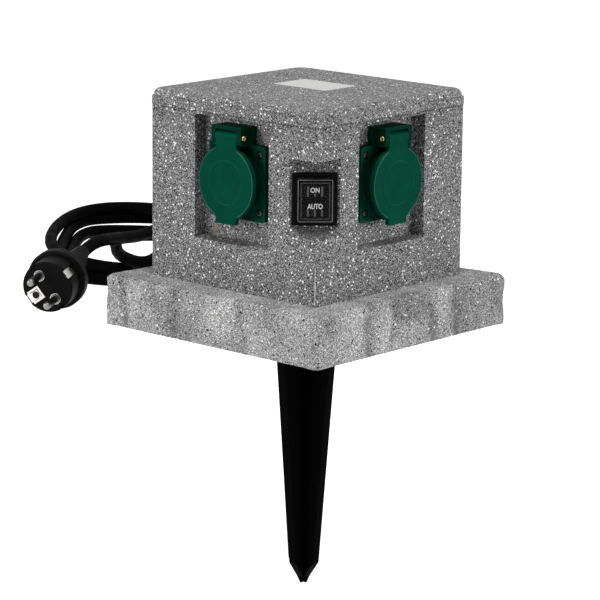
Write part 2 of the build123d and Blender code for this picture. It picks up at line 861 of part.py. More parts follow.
def make_lid_spring():
    """The closing spring: wound turns round the pin and a leg that leans on the frame."""
    leg_radius = (spring_inner_radius + spring_outer_radius) / 2
    angle = math.radians(spring_leg_angle)
    leg_start = (-leg_radius * math.sin(angle), -leg_radius * math.cos(angle))
    leg_reach = (hinge_depth - flange_front - leg_start[0]) / math.cos(angle)
    leg_end = (hinge_depth - flange_front, leg_start[1] - leg_reach * math.sin(angle))
    with BuildPart() as spring:
        with BuildSketch(Plane(origin=(0, -hinge_depth, hinge_height), x_dir=(1, 0, 0), z_dir=(0, -1, 0))):
            with BuildLine():
                rim = [(-spring_half_length, spring_inner_radius)]
                for coil in range(spring_coils):
                    start = -spring_half_length + coil * spring_pitch
                    rim.append((start, spring_outer_radius - spring_groove_depth))
                    rim.append((start + spring_pitch / 2, spring_outer_radius))
                rim.append((spring_half_length, spring_outer_radius - spring_groove_depth))
                rim.append((spring_half_length, spring_inner_radius))
                Polyline(*rim, close=True)
            make_face()
        revolve(axis=Axis((0, -hinge_depth, hinge_height), (1, 0, 0)))
        with BuildSketch(hinge_side_plane()):
            with BuildLine() as leg:
                Line(leg_start, leg_end)
            trace(leg.edges(), spring_leg_thickness)
            with Locations((hinge_depth - flange_front, 0)):
                Rectangle(
                    2 * knuckle_radius,
                    4 * knuckle_radius,
                    align=(Align.MIN, Align.CENTER),
                    mode=Mode.SUBTRACT,
                )
            Circle(spring_inner_radius, mode=Mode.SUBTRACT)
        extrude(amount=spring_leg_thickness / 2, both=True)
    return spring.part


def make_lid_gasket():
    """The soft ring behind a lid that closes on the rim of the collar."""
    middle = (collar_radius + well_radius) / 2
    with BuildPart() as gasket:
        with BuildSketch(side_plane(lid_back)):
            Circle(middle + gasket_width / 2)
            Circle(middle - gasket_width / 2, mode=Mode.SUBTRACT)
        extrude(amount=-gasket_thickness)
    return gasket.part


def make_flange_screws():
    """The four cross-headed screws of a flange."""
    with BuildPart() as screws:
        with BuildSketch(side_plane(flange_front)):
            with GridLocations(flange_screw_spacing, flange_screw_spacing, 2, 2):
                Circle(flange_screw_head_radius)
        extrude(amount=-flange_screw_head_height)
        with BuildSketch(side_plane(flange_front)):
            with GridLocations(flange_screw_spacing, flange_screw_spacing, 2, 2):
                Circle(flange_screw_radius)
        extrude(amount=-flange_screw_length)
        with BuildSketch(side_plane(flange_front)):
            with GridLocations(flange_screw_spacing, flange_screw_spacing, 2, 2):
                Rectangle(*screw_slot)
                Rectangle(*screw_slot, rotation=90)
        extrude(amount=-screw_slot_depth, mode=Mode.SUBTRACT)
    return screws.part


def make_bezel():
    """The black frame of the switch with the switch body behind it."""
    bezel_front = flat_distance + bezel_thickness
    with BuildPart() as bezel:
        with BuildSketch(corner_plane(flat_distance)):
            RectangleRounded(bezel_width, bezel_height, bezel_corner_radius)
        extrude(amount=bezel_thickness)
        front = bezel.faces().sort_by(Axis((0, 0, 0), (1, -1, 0)))[-1]
        chamfer(front.edges(), bezel_edge_chamfer)
        with BuildSketch(corner_plane(flat_distance)):
            Rectangle(switch_body_width, switch_body_height)
        extrude(amount=-switch_body_depth)
        with BuildSketch(corner_plane(bezel_front)):
            Rectangle(*rocker_opening)
        extrude(amount=-switch_cavity_depth, mode=Mode.SUBTRACT)
        axle_hole_reach = rocker_opening[0] / 2 + rocker_axle_length
        with BuildSketch(rocker_side_plane()):
            Circle(rocker_axle_radius + rocker_axle_clearance)
        extrude(amount=axle_hole_reach, both=True, mode=Mode.SUBTRACT)
    return bezel.part


def rocker_side_plane():
    """The middle plane of the rocker: local X points up, local Y points out of the flat."""
    share = rocker_pivot_distance / math.sqrt(2)
    return Plane(origin=(share, -share, switch_height), x_dir=(0, 0, 1), z_dir=(1, 1, 0))


def make_rocker():
    """The rocker as it rests, with its lower half pressed in for AUTO."""
    tip = (rocker_height / 2, rocker_pivot_depth + rocker_tip_rise)
    shoulder = (rocker_height / 2, tip[1] - rocker_shoulder_drop)
    back = (rocker_back_half_width, -math.sqrt(rocker_back_radius**2 - rocker_back_half_width**2))
    with BuildPart() as rocker:
        with BuildSketch(rocker_side_plane()) as profile:
            with BuildLine():
                Polyline((-back[0], back[1]), (-shoulder[0], shoulder[1]), (-tip[0], tip[1]))
                Line((-tip[0], tip[1]), (0, rocker_pivot_depth))
                Polyline((0, rocker_pivot_depth), tip, shoulder, back)
                ThreePointArc(back, (0, -rocker_back_radius), (-back[0], back[1]))
            make_face()
            fillet([v for v in profile.vertices() if abs(v.Y - tip[1]) < 0.01], rocker_edge_radius)
        extrude(amount=rocker_width / 2, both=True)
        with BuildSketch(rocker_side_plane()):
            Circle(rocker_axle_radius)
        extrude(amount=rocker_width / 2 + rocker_axle_length, both=True)
    pivot_axis = Axis(rocker_side_plane().origin, (1, 1, 0))
    return rocker.part.rotate(pivot_axis, rocker_throw / 2)


def make_boot():
    """The clear weather boot that covers the rocker."""
    with BuildPart() as boot:
        with BuildSketch(corner_plane(flat_distance + bezel_thickness)):
            RectangleRounded(boot_width, boot_height, boot_corner_radius)
        extrude(amount=boot_rise)
        front = boot.faces().sort_by(Axis((0, 0, 0), (1, -1, 0)))[-1]
        fillet(front.edges(), boot_corner_radius / 2)
        with BuildSketch(corner_plane(flat_distance + bezel_thickness)):
            Rectangle(boot_width - 2 * boot_wall, boot_height - 2 * boot_wall)
        extrude(amount=boot_rise - boot_wall, mode=Mode.SUBTRACT)
    return boot.part


def make_switch_terminals():
    """The four tabs behind the switch body."""
    with BuildPart() as tabs:
        with BuildSketch(corner_plane(flat_distance - switch_body_depth)):
            with GridLocations(*switch_tab_spacing, 2, 2):
                Rectangle(*switch_tab_size)
        extrude(amount=-switch_tab_length)
    return tabs.part


def make_board():
    """The receiver board on its standoffs."""
    with BuildPart() as board:
        with BuildSketch(Plane.XY.offset(board_bottom)):
            Rectangle(board_side, board_side)
        extrude(amount=board_thickness)
    return board.part


def make_relay():
    """The relay that switches the sockets."""
    width, depth, height = relay_size
    with BuildPart() as relay:
        with BuildSketch(Plane.XY.offset(board_top)):
            with Locations(relay_place):
                Rectangle(width, depth)
        extrude(amount=height)
        chamfer(relay.faces().sort_by(Axis.Z)[-1].edges(), relay_edge_chamfer)
    return relay.part


def make_capacitor():
    """The capacitor of the board's supply."""
    with BuildPart() as capacitor:
        with BuildSketch(Plane.XY.offset(board_top)):
            with Locations(capacitor_place):
                Circle(capacitor_radius)
        extrude(amount=capacitor_height)
        fillet(capacitor.faces().sort_by(Axis.Z)[-1].edges(), capacitor_edge_radius)
    return capacitor.part


def make_terminal_block():
    """The strip of screw terminals, with a screw shaft and a wire hole for each way."""
    width, depth, height = terminal_size
    pitch = width / terminal_ways
    x, y = terminal_place
    with BuildPart() as block:
        with BuildSketch(Plane.XY.offset(board_top)):
            with Locations(terminal_place):
                Rectangle(width, depth)
        extrude(amount=height)
        with BuildSketch(Plane.XY.offset(board_top + height)):
            with Locations(terminal_place):
                with GridLocations(pitch, 1, terminal_ways, 1):
                    Circle(terminal_screw_radius)
        extrude(amount=-height / 2, mode=Mode.SUBTRACT)
        front = Plane(origin=(x, y - depth / 2, board_top + height / 3), x_dir=(1, 0, 0), z_dir=(0, -1, 0))
        with BuildSketch(front):
            with GridLocations(pitch, 1, terminal_ways, 1):
                Circle(terminal_wire_radius)
        extrude(amount=-depth, mode=Mode.SUBTRACT)
    return block.part


def make_gland_body():
    """The gland: a hexagon outside the wall and a threaded barrel through it."""
    with BuildPart() as gland:
        with BuildSketch(gland_plane(half_body)):
            RegularPolygon(gland_hex_radius, 6, major_radius=False)
        extrude(amount=gland_flange_thickness)
        with BuildSketch(gland_plane(half_body)):
            Circle(gland_thread_radius)
        extrude(amount=-gland_thread_length)
        with BuildSketch(gland_plane(half_body + gland_flange_thickness)):
            Circle(gland_bore_radius)
        extrude(amount=-(gland_flange_thickness + gland_thread_length), mode=Mode.SUBTRACT)
    return gland.part


def make_gland_locknut():
    """The nut that holds the gland from inside the housing."""
    with BuildPart() as nut:
        with BuildSketch(gland_plane(inner_half)):
            RegularPolygon(gland_locknut_radius, 6, major_radius=False)
            Circle(gland_thread_radius, mode=Mode.SUBTRACT)
        extrude(amount=-gland_locknut_thickness)
    return nut.part


def make_gland_nut():
    """The dome nut outside, that squeezes the cord."""
    start = half_body + gland_flange_thickness
    straight = gland_nut_length / 2
    with BuildPart() as nut:
        with BuildSketch(gland_plane(start)):
            RegularPolygon(gland_hex_radius, 6, major_radius=False)
        extrude(amount=straight)
        with BuildSketch(gland_plane(start + straight)):
            Circle(gland_hex_radius - gland_nut_shoulder)
        with BuildSketch(gland_plane(start + gland_nut_length)):
            Circle(gland_nut_end_radius)
        loft()
        with BuildSketch(gland_plane(start + gland_nut_length)):
            Circle(gland_bore_radius)
        extrude(amount=-gland_nut_length, mode=Mode.SUBTRACT)
    return nut.part


def relief_profile(length, start_radius, end_radius, ribs, groove):
    """Half of a ribbed relief's side view: X along the cord, Y out from its centre."""
    pitch = length / ribs
    rim = [(0, 0), (0, start_radius)]
    for rib in range(1, ribs):
        place = rib * pitch
        radius = start_radius + (end_radius - start_radius) * place / length
        rim.append((place - pitch / 5, radius))
        rim.append((place - pitch / 5, radius - groove))
        rim.append((place + pitch / 5, radius - groove))
        rim.append((place + pitch / 5, radius))
    rim.append((length, end_radius))
    rim.append((length, 0))
    return rim


def make_gland_boot():
    """The short ribbed boot where the cord leaves the gland."""
    start = (-(half_body + gland_flange_thickness + gland_nut_length), 0, gland_height)
    rim = relief_profile(
        gland_boot_length, gland_boot_radius, gland_boot_end_radius, gland_boot_ribs, plug_relief_groove / 2
    )
    with BuildPart() as boot:
        with BuildSketch(Plane(origin=start, x_dir=(-1, 0, 0), z_dir=(0, 1, 0))):
            with BuildLine():
                Polyline(*rim, close=True)
            make_face()
        revolve(axis=Axis(start, (-1, 0, 0)))
    return boot.part


def plug_side_plane(advance):
    """A plane through the plug's axis: local X points back along the cord."""
    back = plug_plane(advance)
    return Plane(origin=back.origin, x_dir=-back.z_dir, z_dir=back.x_dir)


def make_plug_body():
    """The moulded plug: a round face, a wider grip and a back that narrows to the relief."""
    grip_start = plug_face_length
    grip_end = grip_start + plug_grip_length
    back_end = grip_end + plug_back_length
    side_plane_here = plug_side_plane(0)
    with BuildPart() as plug:
        with BuildSketch(side_plane_here) as profile:
            with BuildLine():
                Polyline(
                    (0, 0),
                    (0, plug_face_radius),
                    (grip_start, plug_face_radius),
                    (grip_start, plug_grip_radius),
                    (grip_end, plug_grip_radius),
                )
                Spline(
                    (grip_end, plug_grip_radius),
                    (grip_end + plug_back_length / 2, plug_back_waist),
                    (back_end, plug_back_radius),
                    tangents=((0.3, -1), (1, -0.1)),
                )
                Polyline((back_end, plug_back_radius), (back_end, 0), (0, 0))
            make_face()
            rim = [v for v in profile.vertices() if abs(v.Y - plug_grip_radius) < 0.01]
            fillet(rim, plug_grip_edge)
            face_rim = [v for v in profile.vertices() if abs(v.Y - plug_face_radius) < 0.01]
            fillet(sorted(face_rim, key=lambda v: v.X)[0], plug_face_edge)
        revolve(axis=Axis(side_plane_here.origin, side_plane_here.x_dir))
        with BuildSketch(plug_plane(0)):
            with Locations((0, plug_face_radius), (0, -plug_face_radius)):
                Rectangle(plug_notch_width, 2 * plug_notch_depth)
            with Locations((plug_face_radius, 0), (-plug_face_radius, 0)):
                Rectangle(2 * plug_guide_depth, plug_guide_width)
        extrude(amount=-plug_face_length, mode=Mode.SUBTRACT)
        with BuildSketch(plug_plane(0)):
            with Locations((0, -earth_hole_offset)):
                Circle(earth_sleeve_radius)
        extrude(amount=-earth_sleeve_length, mode=Mode.SUBTRACT)
        with BuildSketch(plug_plane(0)):
            with GridLocations(pin_spacing, 1, 2, 1):
                Circle(pin_radius)
        extrude(amount=-pin_root_length, mode=Mode.SUBTRACT)
    return plug.part


def make_plug_pins():
    """The two pins, rooted in the face, each with a low collar and a rounded nose."""
    with BuildPart() as pins:
        with BuildSketch(plug_plane(-pin_root_length)):
            with GridLocations(pin_spacing, 1, 2, 1):
                Circle(pin_radius)
        extrude(amount=pin_root_length + pin_length)
        noses = pins.faces().sort_by(Axis(plug_face, plug_axis))[-2:]
        fillet(noses.edges(), pin_nose)
        with BuildSketch(plug_plane(0)):
            with GridLocations(pin_spacing, 1, 2, 1):
                Circle(pin_collar_radius)
        extrude(amount=pin_collar_height)
    return pins.part


def make_plug_earth():
    """The sleeve that takes an earth pin, with its square plate, and the two side clips."""
    clip_seat = plug_face_radius - plug_notch_depth
    with BuildPart() as earth:
        with BuildSketch(plug_plane(0)):
            with Locations((0, -earth_hole_offset)):
                Rectangle(earth_plate_side, earth_plate_side)
        extrude(amount=earth_plate_thickness)
        with BuildSketch(plug_plane(0)):
            with Locations((0, -earth_hole_offset)):
                Circle(earth_sleeve_radius)
        extrude(amount=-earth_sleeve_length)
        with BuildSketch(plug_plane(earth_plate_thickness)):
            with Locations((0, -earth_hole_offset)):
                Circle(earth_hole_radius)
        extrude(amount=-earth_sleeve_length, mode=Mode.SUBTRACT)
        with BuildSketch(plug_plane(-plug_face_length)):
            for way in (1, -1):
                with Locations((0, way * (clip_seat + earth_clip_thickness / 2))):
                    Rectangle(earth_clip_width, earth_clip_thickness)
        extrude(amount=earth_clip_length)
    return earth.part


def make_plug_relief():
    """The ribbed relief that holds the cord behind the plug."""
    back = plug_face_length + plug_grip_length + plug_back_length
    rim = relief_profile(
        plug_relief_length, plug_relief_radius, plug_relief_end_radius, plug_relief_ribs, plug_relief_groove
    )
    plane = plug_side_plane(-back)
    with BuildPart() as relief:
        with BuildSketch(plane):
            with BuildLine():
                Polyline(*rim, close=True)
            make_face()
        revolve(axis=Axis(plane.origin, plane.x_dir))
    return relief.part


def cord_tube(points, name):
    """A tube along straight runs that tangent arcs join, as wide as the cord."""
    points = [Vector(*point) for point in points]
    radii = []
    for before, corner, after in zip(points, points[1:], points[2:]):
        turn = math.radians((corner - before).get_angle(after - corner))
        shorter = min((corner - before).length, (after - corner).length)
        radii.append(cord_run_share * shorter / math.tan(turn / 2))
    print(name, "arc radii:", ", ".join(f"{radius:.1f}" for radius in radii))
    with BuildPart() as tube:
        with BuildLine() as path:
            FilletPolyline(*points, radius=radii)
        with BuildSketch(Plane(origin=points[0], z_dir=points[1] - points[0])):
            Circle(cord_radius)
        sweep(path=path.wires()[0])
    section = math.pi * cord_radius**2
    share = tube.part.volume / section / path.wires()[0].length
    print(name, f"volume over section times length: {share:.4f}")
    return tube.part


def make_cord_lead():
    """The cord from the gland to the coil."""
    boot_end = half_body + gland_flange_thickness + gland_nut_length + gland_boot_length
    first_points = [gland_plane(boot_end).origin, gland_plane(boot_end + lead_first_run).origin]
    return cord_tube([*first_points, *lead_route, lead_end], "cord_lead")


def make_cord_plug_lead():
    """The cord from the plug's relief to the coil."""
    back = plug_face_length + plug_grip_length + plug_back_length + plug_relief_length
    first_points = [plug_plane(-back).origin, plug_plane(-back - plug_lead_first_run).origin]
    return cord_tube([*first_points, *plug_lead_route, plug_lead_end], "cord_plug_lead")


def make_cord_coil():
    """The outer shape of the coiled turns: a long ring that rises towards its far end."""
    plane = Plane(origin=(*coil_centre, 0), x_dir=(*coil_direction, 0), z_dir=(0, 0, 1))
    slope = (coil_far_height - coil_near_height) / coil_length
    middle_height = (coil_far_height + coil_near_height) / 2
    with BuildPart() as coil:
        with BuildSketch(plane):
            SlotOverall(coil_length, coil_width)
            SlotOverall(
                coil_length - 2 * coil_section_width,
                coil_width - 2 * coil_section_width,
                mode=Mode.SUBTRACT,
            )
        extrude(amount=coil_far_height)
        top_normal = plane.z_dir - plane.x_dir * slope
        top = Plane(origin=plane.origin + Vector(0, 0, middle_height), x_dir=plane.y_dir, z_dir=top_normal)
        split(bisect_by=top, keep=Keep.BOTTOM)
        fillet(coil.faces().sort_by(Axis.Z)[-1].edges(), coil_edge_radius)
    return coil.part


os.makedirs("parts", exist_ok=True)
save(make_base(), "base_plate")
save(make_spike_holder(), "spike_holder")
save(make_spike(), "ground_spike")
save(make_tie_screws(), "tie_screws")
save(make_housing(), "body_housing")
save(make_roof(), "roof_cover")
save(make_roof_seal(), "roof_seal")
save(make_top_panel(), "top_panel")
save_on_sides(make_frame(), "frame")
save_on_sides(make_insert(), "insert")
save_on_sides(make_contacts(), "contacts")
save_on_sides(make_lid(), "lid")
save_on_sides(make_hinge_pin(), "hinge_pin")
save_on_sides(make_lid_spring(), "lid_spring")
save_on_sides(make_lid_gasket(), "lid_gasket")
save_on_sides(make_flange_screws(), "flange_screws")
save(make_bezel(), "switch_bezel")
save(make_rocker(), "switch_rocker")
save(make_boot(), "switch_boot")
save(make_switch_terminals(), "switch_terminals")
save(make_board(), "control_board")
save(make_relay(), "board_relay")
save(make_capacitor(), "board_capacitor")
save(make_terminal_block(), "terminal_block")
save(make_gland_body(), "gland_body")
save(make_gland_locknut(), "gland_locknut")
save(make_gland_nut(), "gland_nut")
save(make_gland_boot(), "gland_boot")
save(make_cord_lead(), "cord_lead")
save(make_cord_coil(), "cord_coil")
save(make_cord_plug_lead(), "cord_plug_lead")
save(make_plug_body(), "plug_body")
save(make_plug_pins(), "plug_pins")
save(make_plug_earth(), "plug_earth_contact")
save(make_plug_relief(), "plug_relief")
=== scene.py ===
import math

import bmesh
import bpy
from mathutils import Matrix, Vector, noise


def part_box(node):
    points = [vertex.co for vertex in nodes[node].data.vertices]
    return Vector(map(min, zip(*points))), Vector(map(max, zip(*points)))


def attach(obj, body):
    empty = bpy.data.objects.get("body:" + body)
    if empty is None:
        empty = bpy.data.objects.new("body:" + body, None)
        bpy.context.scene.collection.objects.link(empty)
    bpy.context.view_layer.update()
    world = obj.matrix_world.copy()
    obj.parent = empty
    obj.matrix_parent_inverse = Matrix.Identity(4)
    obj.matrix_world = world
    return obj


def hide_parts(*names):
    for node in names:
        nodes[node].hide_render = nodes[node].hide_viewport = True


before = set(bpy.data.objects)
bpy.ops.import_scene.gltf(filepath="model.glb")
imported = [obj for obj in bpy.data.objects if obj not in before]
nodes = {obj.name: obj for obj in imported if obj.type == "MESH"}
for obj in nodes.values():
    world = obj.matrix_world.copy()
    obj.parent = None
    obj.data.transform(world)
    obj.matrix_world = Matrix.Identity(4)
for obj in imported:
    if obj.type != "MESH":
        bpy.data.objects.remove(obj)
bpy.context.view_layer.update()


# The photographer's place: in front of the switch corner, a little above the roof, with a long
# lens that is turned by about half a degree.
eye = Vector((1.2946, -1.4410, 0.4436))
ahead = Vector((-0.65416, 0.72499, -0.21555)).normalized()
camera_roll = math.radians(0.57)
level_right = ahead.cross(Vector((0, 0, 1))).normalized()
level_up = level_right.cross(ahead)
right = level_right * math.cos(camera_roll) + level_up * math.sin(camera_roll)
up = level_up * math.cos(camera_roll) - level_right * math.sin(camera_roll)
camera = bpy.data.objects.new("camera", bpy.data.cameras.new("camera"))
camera.matrix_world = Matrix.Translation(eye) @ Matrix((right, up, -ahead)).transposed().to_4x4()
camera.data.sensor_width = 36
camera.data.lens = 176.29
camera.data.clip_end = 60
bpy.context.scene.collection.objects.link(camera)
bpy.context.scene.camera = camera
bpy.context.scene.view_settings.view_transform = "Standard"


# The studio: a white floor that lies under the tip of the spike, white all round, one large soft
# lamp for each of the two faces that the photograph shows, and a weaker one above.
floor_height = -0.19
floor_reach = 9.0
floor_colour = (0.86, 0.86, 0.86, 1)
floor_glow = 0.85
room_level = 0.13
lit_point = Vector((0, 0, 0.08))
lamps = (
    ("lamp_left", (-0.85, -1.95, 0.50), 1.3, 26.4),
    ("lamp_right", (1.95, 0.85, 0.50), 1.3, 25.9),
    ("lamp_above", (0.30, -0.40, 1.9), 0.7, 22.5),
)


def put(tree, kind, sockets=None, **settings):
    """A node in the tree: each named socket takes a plain value, or the output it's given."""
    made = tree.nodes.new(kind)
    for name, value in settings.items():
        setattr(made, name, value)
    for name, value in (sockets or {}).items():
        if isinstance(value, bpy.types.NodeSocket):
            tree.links.new(value, made.inputs[name])
        else:
            made.inputs[name].default_value = value
    return made


def finish(name, **plain):
    """A material with one Principled shader, and that shader; plain values go on its sockets."""
    made = bpy.data.materials.new(name)
    made.use_nodes = True
    shader = made.node_tree.nodes["Principled BSDF"]
    for socket, value in plain.items():
        shader.inputs[socket.replace("_", " ")].default_value = value
    return made, made.node_tree, shader


def piece(name, mesh, material=None):
    """An object at the origin for a mesh or curve whose place is in its points."""
    made = bpy.data.objects.new(name, mesh)
    bpy.context.scene.collection.objects.link(made)
    if material:
        mesh.materials.clear()
        mesh.materials.append(material)
    return made


def made_mesh(shape, name, turn_out=False):
    """The mesh of a finished shape, with its faces turned outwards where that is asked for."""
    if turn_out:
        bmesh.ops.recalc_face_normals(shape, faces=shape.faces)
    mesh = bpy.data.meshes.new(name)
    shape.to_mesh(mesh)
    shape.free()
    return mesh


def white_seen(tree):
    """One for what the camera sees straight, in a reflection or through clear plastic, else zero."""
    rays = put(tree, "ShaderNodeLightPath")
    seen = rays.outputs["Is Camera Ray"]
    for way in ("Is Glossy Ray", "Is Transmission Ray"):
        seen = put(tree, "ShaderNodeMath", {0: seen, 1: rays.outputs[way]}, operation="MAXIMUM").outputs[0]
    return seen


world = bpy.data.worlds.new("studio")
world.use_nodes = True
bpy.context.scene.world = world
tree = world.node_tree
background = tree.nodes["Background"]
level = put(tree, "ShaderNodeMapRange", {"Value": white_seen(tree), "To Min": room_level, "To Max": 1.0})
tree.links.new(level.outputs["Result"], background.inputs["Strength"])
background.inputs["Color"].default_value = (1, 1, 1, 1)

shape = bmesh.new()
bmesh.ops.create_circle(shape, cap_ends=True, radius=floor_reach, segments=64,
                        matrix=Matrix.Translation((0, 0, floor_height)))
floor_mesh = made_mesh(shape, "floor")
white, tree, shader = finish("white_floor", Roughness=0.9)
shader.inputs["Base Color"].default_value = floor_colour
glow = put(tree, "ShaderNodeMath", {0: white_seen(tree), 1: floor_glow}, operation="MULTIPLY")
shader.inputs["Emission Color"].default_value = (1, 1, 1, 1)
tree.links.new(glow.outputs[0], shader.inputs["Emission Strength"])
floor = piece("floor", floor_mesh, white)

for name, place, size, power in lamps:
    lamp = bpy.data.lights.new(name, "AREA")
    lamp.shape = "DISK"
    lamp.size = size
    lamp.energy = power
    lamp_object = bpy.data.objects.new(name, lamp)
    aim = (lit_point - Vector(place)).to_track_quat("-Z", "Y")
    lamp_object.matrix_world = Matrix.Translation(place) @ aim.to_matrix().to_4x4()
    lamp_object.visible_camera = False
    bpy.context.scene.collection.objects.link(lamp_object)


# The base: a hollow plate of light grey plastic, moulded and speckled like a row of hewn stones,
# with soft grooves between them, a slightly uneven face and cloudy paler and darker patches in its
# tone; painted shade darkens the grooves and hollows, and painted highlight lightens the bulges.
stone_voxel = 0.0013
stone_swell = 0.0011
stone_stand = 0.0004
stone_chips = 0.0004
pale_cells = 0.23
dark_cells = 0.26
fleck_reach = (0.28, 0.47)
fleck_core = 0.8
grain_steps = (0.35, 0.6, 0.85)
grain_parts = (0.1, 0.22, 0.9, 2.0, 4.2)

flecks = bpy.data.node_groups.new("flecks", "ShaderNodeTree")
for name in ("Size", "Pale share", "Dark share"):
    flecks.interface.new_socket(name, in_out="INPUT", socket_type="NodeSocketFloat")
for name in ("Pale", "Dark", "Grain", "Cloud"):
    flecks.interface.new_socket(name, in_out="OUTPUT", socket_type="NodeSocketFloat")
given = put(flecks, "NodeGroupInput")
place = put(flecks, "ShaderNodeTexCoord").outputs["Object"]
scale = put(flecks, "ShaderNodeMath", {0: 1.0, 1: given.outputs["Size"]}, operation="DIVIDE").outputs[0]
masks = {}
for kind, share, part, shift in (("Pale", "Pale share", pale_cells, 0.0), ("Dark", "Dark share", dark_cells, 3.7)):
    grown = put(flecks, "ShaderNodeMath", {0: scale, 1: part}, operation="MULTIPLY").outputs[0]
    moved = put(flecks, "ShaderNodeVectorMath", {0: place, 1: (shift, shift, shift)}, operation="ADD")
    cells = put(flecks, "ShaderNodeTexVoronoi", {"Vector": moved.outputs[0], "Scale": grown})
    lots = put(flecks, "ShaderNodeTexWhiteNoise", {"Vector": cells.outputs["Color"]})
    chosen = put(flecks, "ShaderNodeSeparateColor", {"Color": lots.outputs["Color"]})
    limit = put(flecks, "ShaderNodeMath", {0: 1.0, 1: given.outputs[share]}, operation="SUBTRACT")
    picked = put(flecks, "ShaderNodeMath", {0: chosen.outputs[0], 1: limit.outputs[0]}, operation="GREATER_THAN")
    reach = put(flecks, "ShaderNodeMapRange", {"Value": chosen.outputs[1], "To Min": fleck_reach[0],
                                               "To Max": fleck_reach[1]})
    inner = put(flecks, "ShaderNodeMath", {0: reach.outputs[0], 1: fleck_core}, operation="MULTIPLY")
    dot = put(flecks, "ShaderNodeMapRange", {"Value": cells.outputs["Distance"], "From Min": inner.outputs[0],
                                             "From Max": reach.outputs[0], "To Min": 1.0, "To Max": 0.0})
    masks[kind] = put(flecks, "ShaderNodeMath", {0: picked.outputs[0], 1: dot.outputs[0]}, operation="MULTIPLY")
fine = put(flecks, "ShaderNodeTexVoronoi", {"Vector": place, "Scale": scale})
grain = put(flecks, "ShaderNodeTexWhiteNoise", {"Vector": fine.outputs["Color"]})
cloud = put(flecks, "ShaderNodeTexNoise", {"Vector": place, "Scale": 30.0, "Detail": 4.0, "Roughness": 0.5})
put(flecks, "NodeGroupOutput", {"Pale": masks["Pale"].outputs[0], "Dark": masks["Dark"].outputs[0],
                                "Grain": grain.outputs["Value"], "Cloud": cloud.outputs["Fac"]})


def speckled(name, size, level, contrast, cloudiness, pale, dark, roughness, relief, shading=None):
    """A moulded plastic with fine grain about one grey, pale and dark flecks, clouds and a relief."""
    made, tree, shader = finish(name, Roughness=roughness, Specular_IOR_Level=0.1)
    group = put(tree, "ShaderNodeGroup", node_tree=flecks)
    group.inputs["Size"].default_value = size
    group.inputs["Pale share"].default_value = pale[0]
    group.inputs["Dark share"].default_value = dark[0]
    body = put(tree, "ShaderNodeValToRGB", {"Fac": group.outputs["Grain"]})
    for step in grain_steps:
        body.color_ramp.elements.new(step)
    for element, part in zip(body.color_ramp.elements, grain_parts):
        grey = level * (1 + (part - 1) * contrast)
        element.color = (grey, grey, grey, 1)
    cloud = put(tree, "ShaderNodeMapRange", {"Value": group.outputs["Cloud"], "From Min": 0.3, "From Max": 0.7,
                                             "To Min": 1 - cloudiness, "To Max": 1 + cloudiness})
    toned = put(tree, "ShaderNodeVectorMath", {0: body.outputs["Color"], 1: cloud.outputs[0]}, operation="MULTIPLY")
    if shading:
        toned = put(tree, "ShaderNodeVectorMath", {0: toned.outputs[0], 1: shading(tree)}, operation="MULTIPLY")
    with_pale = put(tree, "ShaderNodeMix", {"Factor": group.outputs["Pale"], "A": toned.outputs[0],
                                            "B": (pale[1], pale[1], pale[1])}, data_type="VECTOR")
    with_dark = put(tree, "ShaderNodeMix", {"Factor": group.outputs["Dark"], "A": with_pale.outputs[1],
                                            "B": (dark[1], dark[1], dark[1])}, data_type="VECTOR")
    tree.links.new(with_dark.outputs[1], shader.inputs["Base Color"])
    bump = put(tree, "ShaderNodeBump", {"Height": group.outputs["Grain"], "Distance": relief, "Strength": 0.5})
    tree.links.new(bump.outputs[0], shader.inputs["Normal"])
    return made


def groove_shading(tree):
    """Painted highlight on the bulges and painted shade in the grooves and hollows, from the mesh's own attribute.
    """
    groove = put(tree, "ShaderNodeAttribute", attribute_name="groove")
    # A noise breaks up how deep the painted groove shade is.
    painted_light = put(tree, "ShaderNodeTexNoise", {"Vector": put(tree, "ShaderNodeTexCoord").outputs["Object"],
                                            "Scale": 90.0, "Detail": 3.0})
    broken = put(tree, "ShaderNodeMapRange", {"Value": painted_light.outputs["Fac"], "From Min": 0.3, "From Max": 0.65,
                                              "To Min": 0.5, "To Max": 1.0})
    depth = put(tree, "ShaderNodeMath", {0: groove.outputs["Fac"], 1: broken.outputs[0]}, operation="MULTIPLY")
    return put(tree, "ShaderNodeMapRange", {"Value": depth.outputs[0], "To Min": 1.06, "To Max": 0.60},
               clamp=False).outputs[0]


def carried_out(made):
    """A mesh of the object with its modifiers or its curve's bevel carried out."""
    bpy.context.view_layer.update()
    return bpy.data.meshes.new_from_object(made.evaluated_get(bpy.context.evaluated_depsgraph_get()))


stone = speckled("hewn_stone_plastic", size=0.00045, level=0.302, contrast=0.62, cloudiness=0.34, pale=(0.04, 0.95),
                 dark=(0.15, 0.01), roughness=0.8, relief=0.0002, shading=groove_shading)

shape = bmesh.new()
shape.from_mesh(nodes["base_plate"].data)
bmesh.ops.remove_doubles(shape, verts=shape.verts, dist=1e-6)
base = piece("base_stones", made_mesh(shape, "base_stones"))
remesh = base.modifiers.new("even", "REMESH")
remesh.mode = "VOXEL"
remesh.voxel_size = stone_voxel
remesh.use_smooth_shade = True
evened = carried_out(base)
base.modifiers.clear()
base.data = evened
high_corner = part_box("base_plate")[1]
housing_half = 0.074
housing_clear = 0.003
soft_start = 0.006
base_half = 0.0950
edge_from = high_corner.x - 0.0075
top_rim = 0.003
top_edge = 0.002
top_share = 0.45
hewn_sizes = (42, 95, 260)
second_share = 0.45
straight_rim = 0.005
rim_rise = 0.008
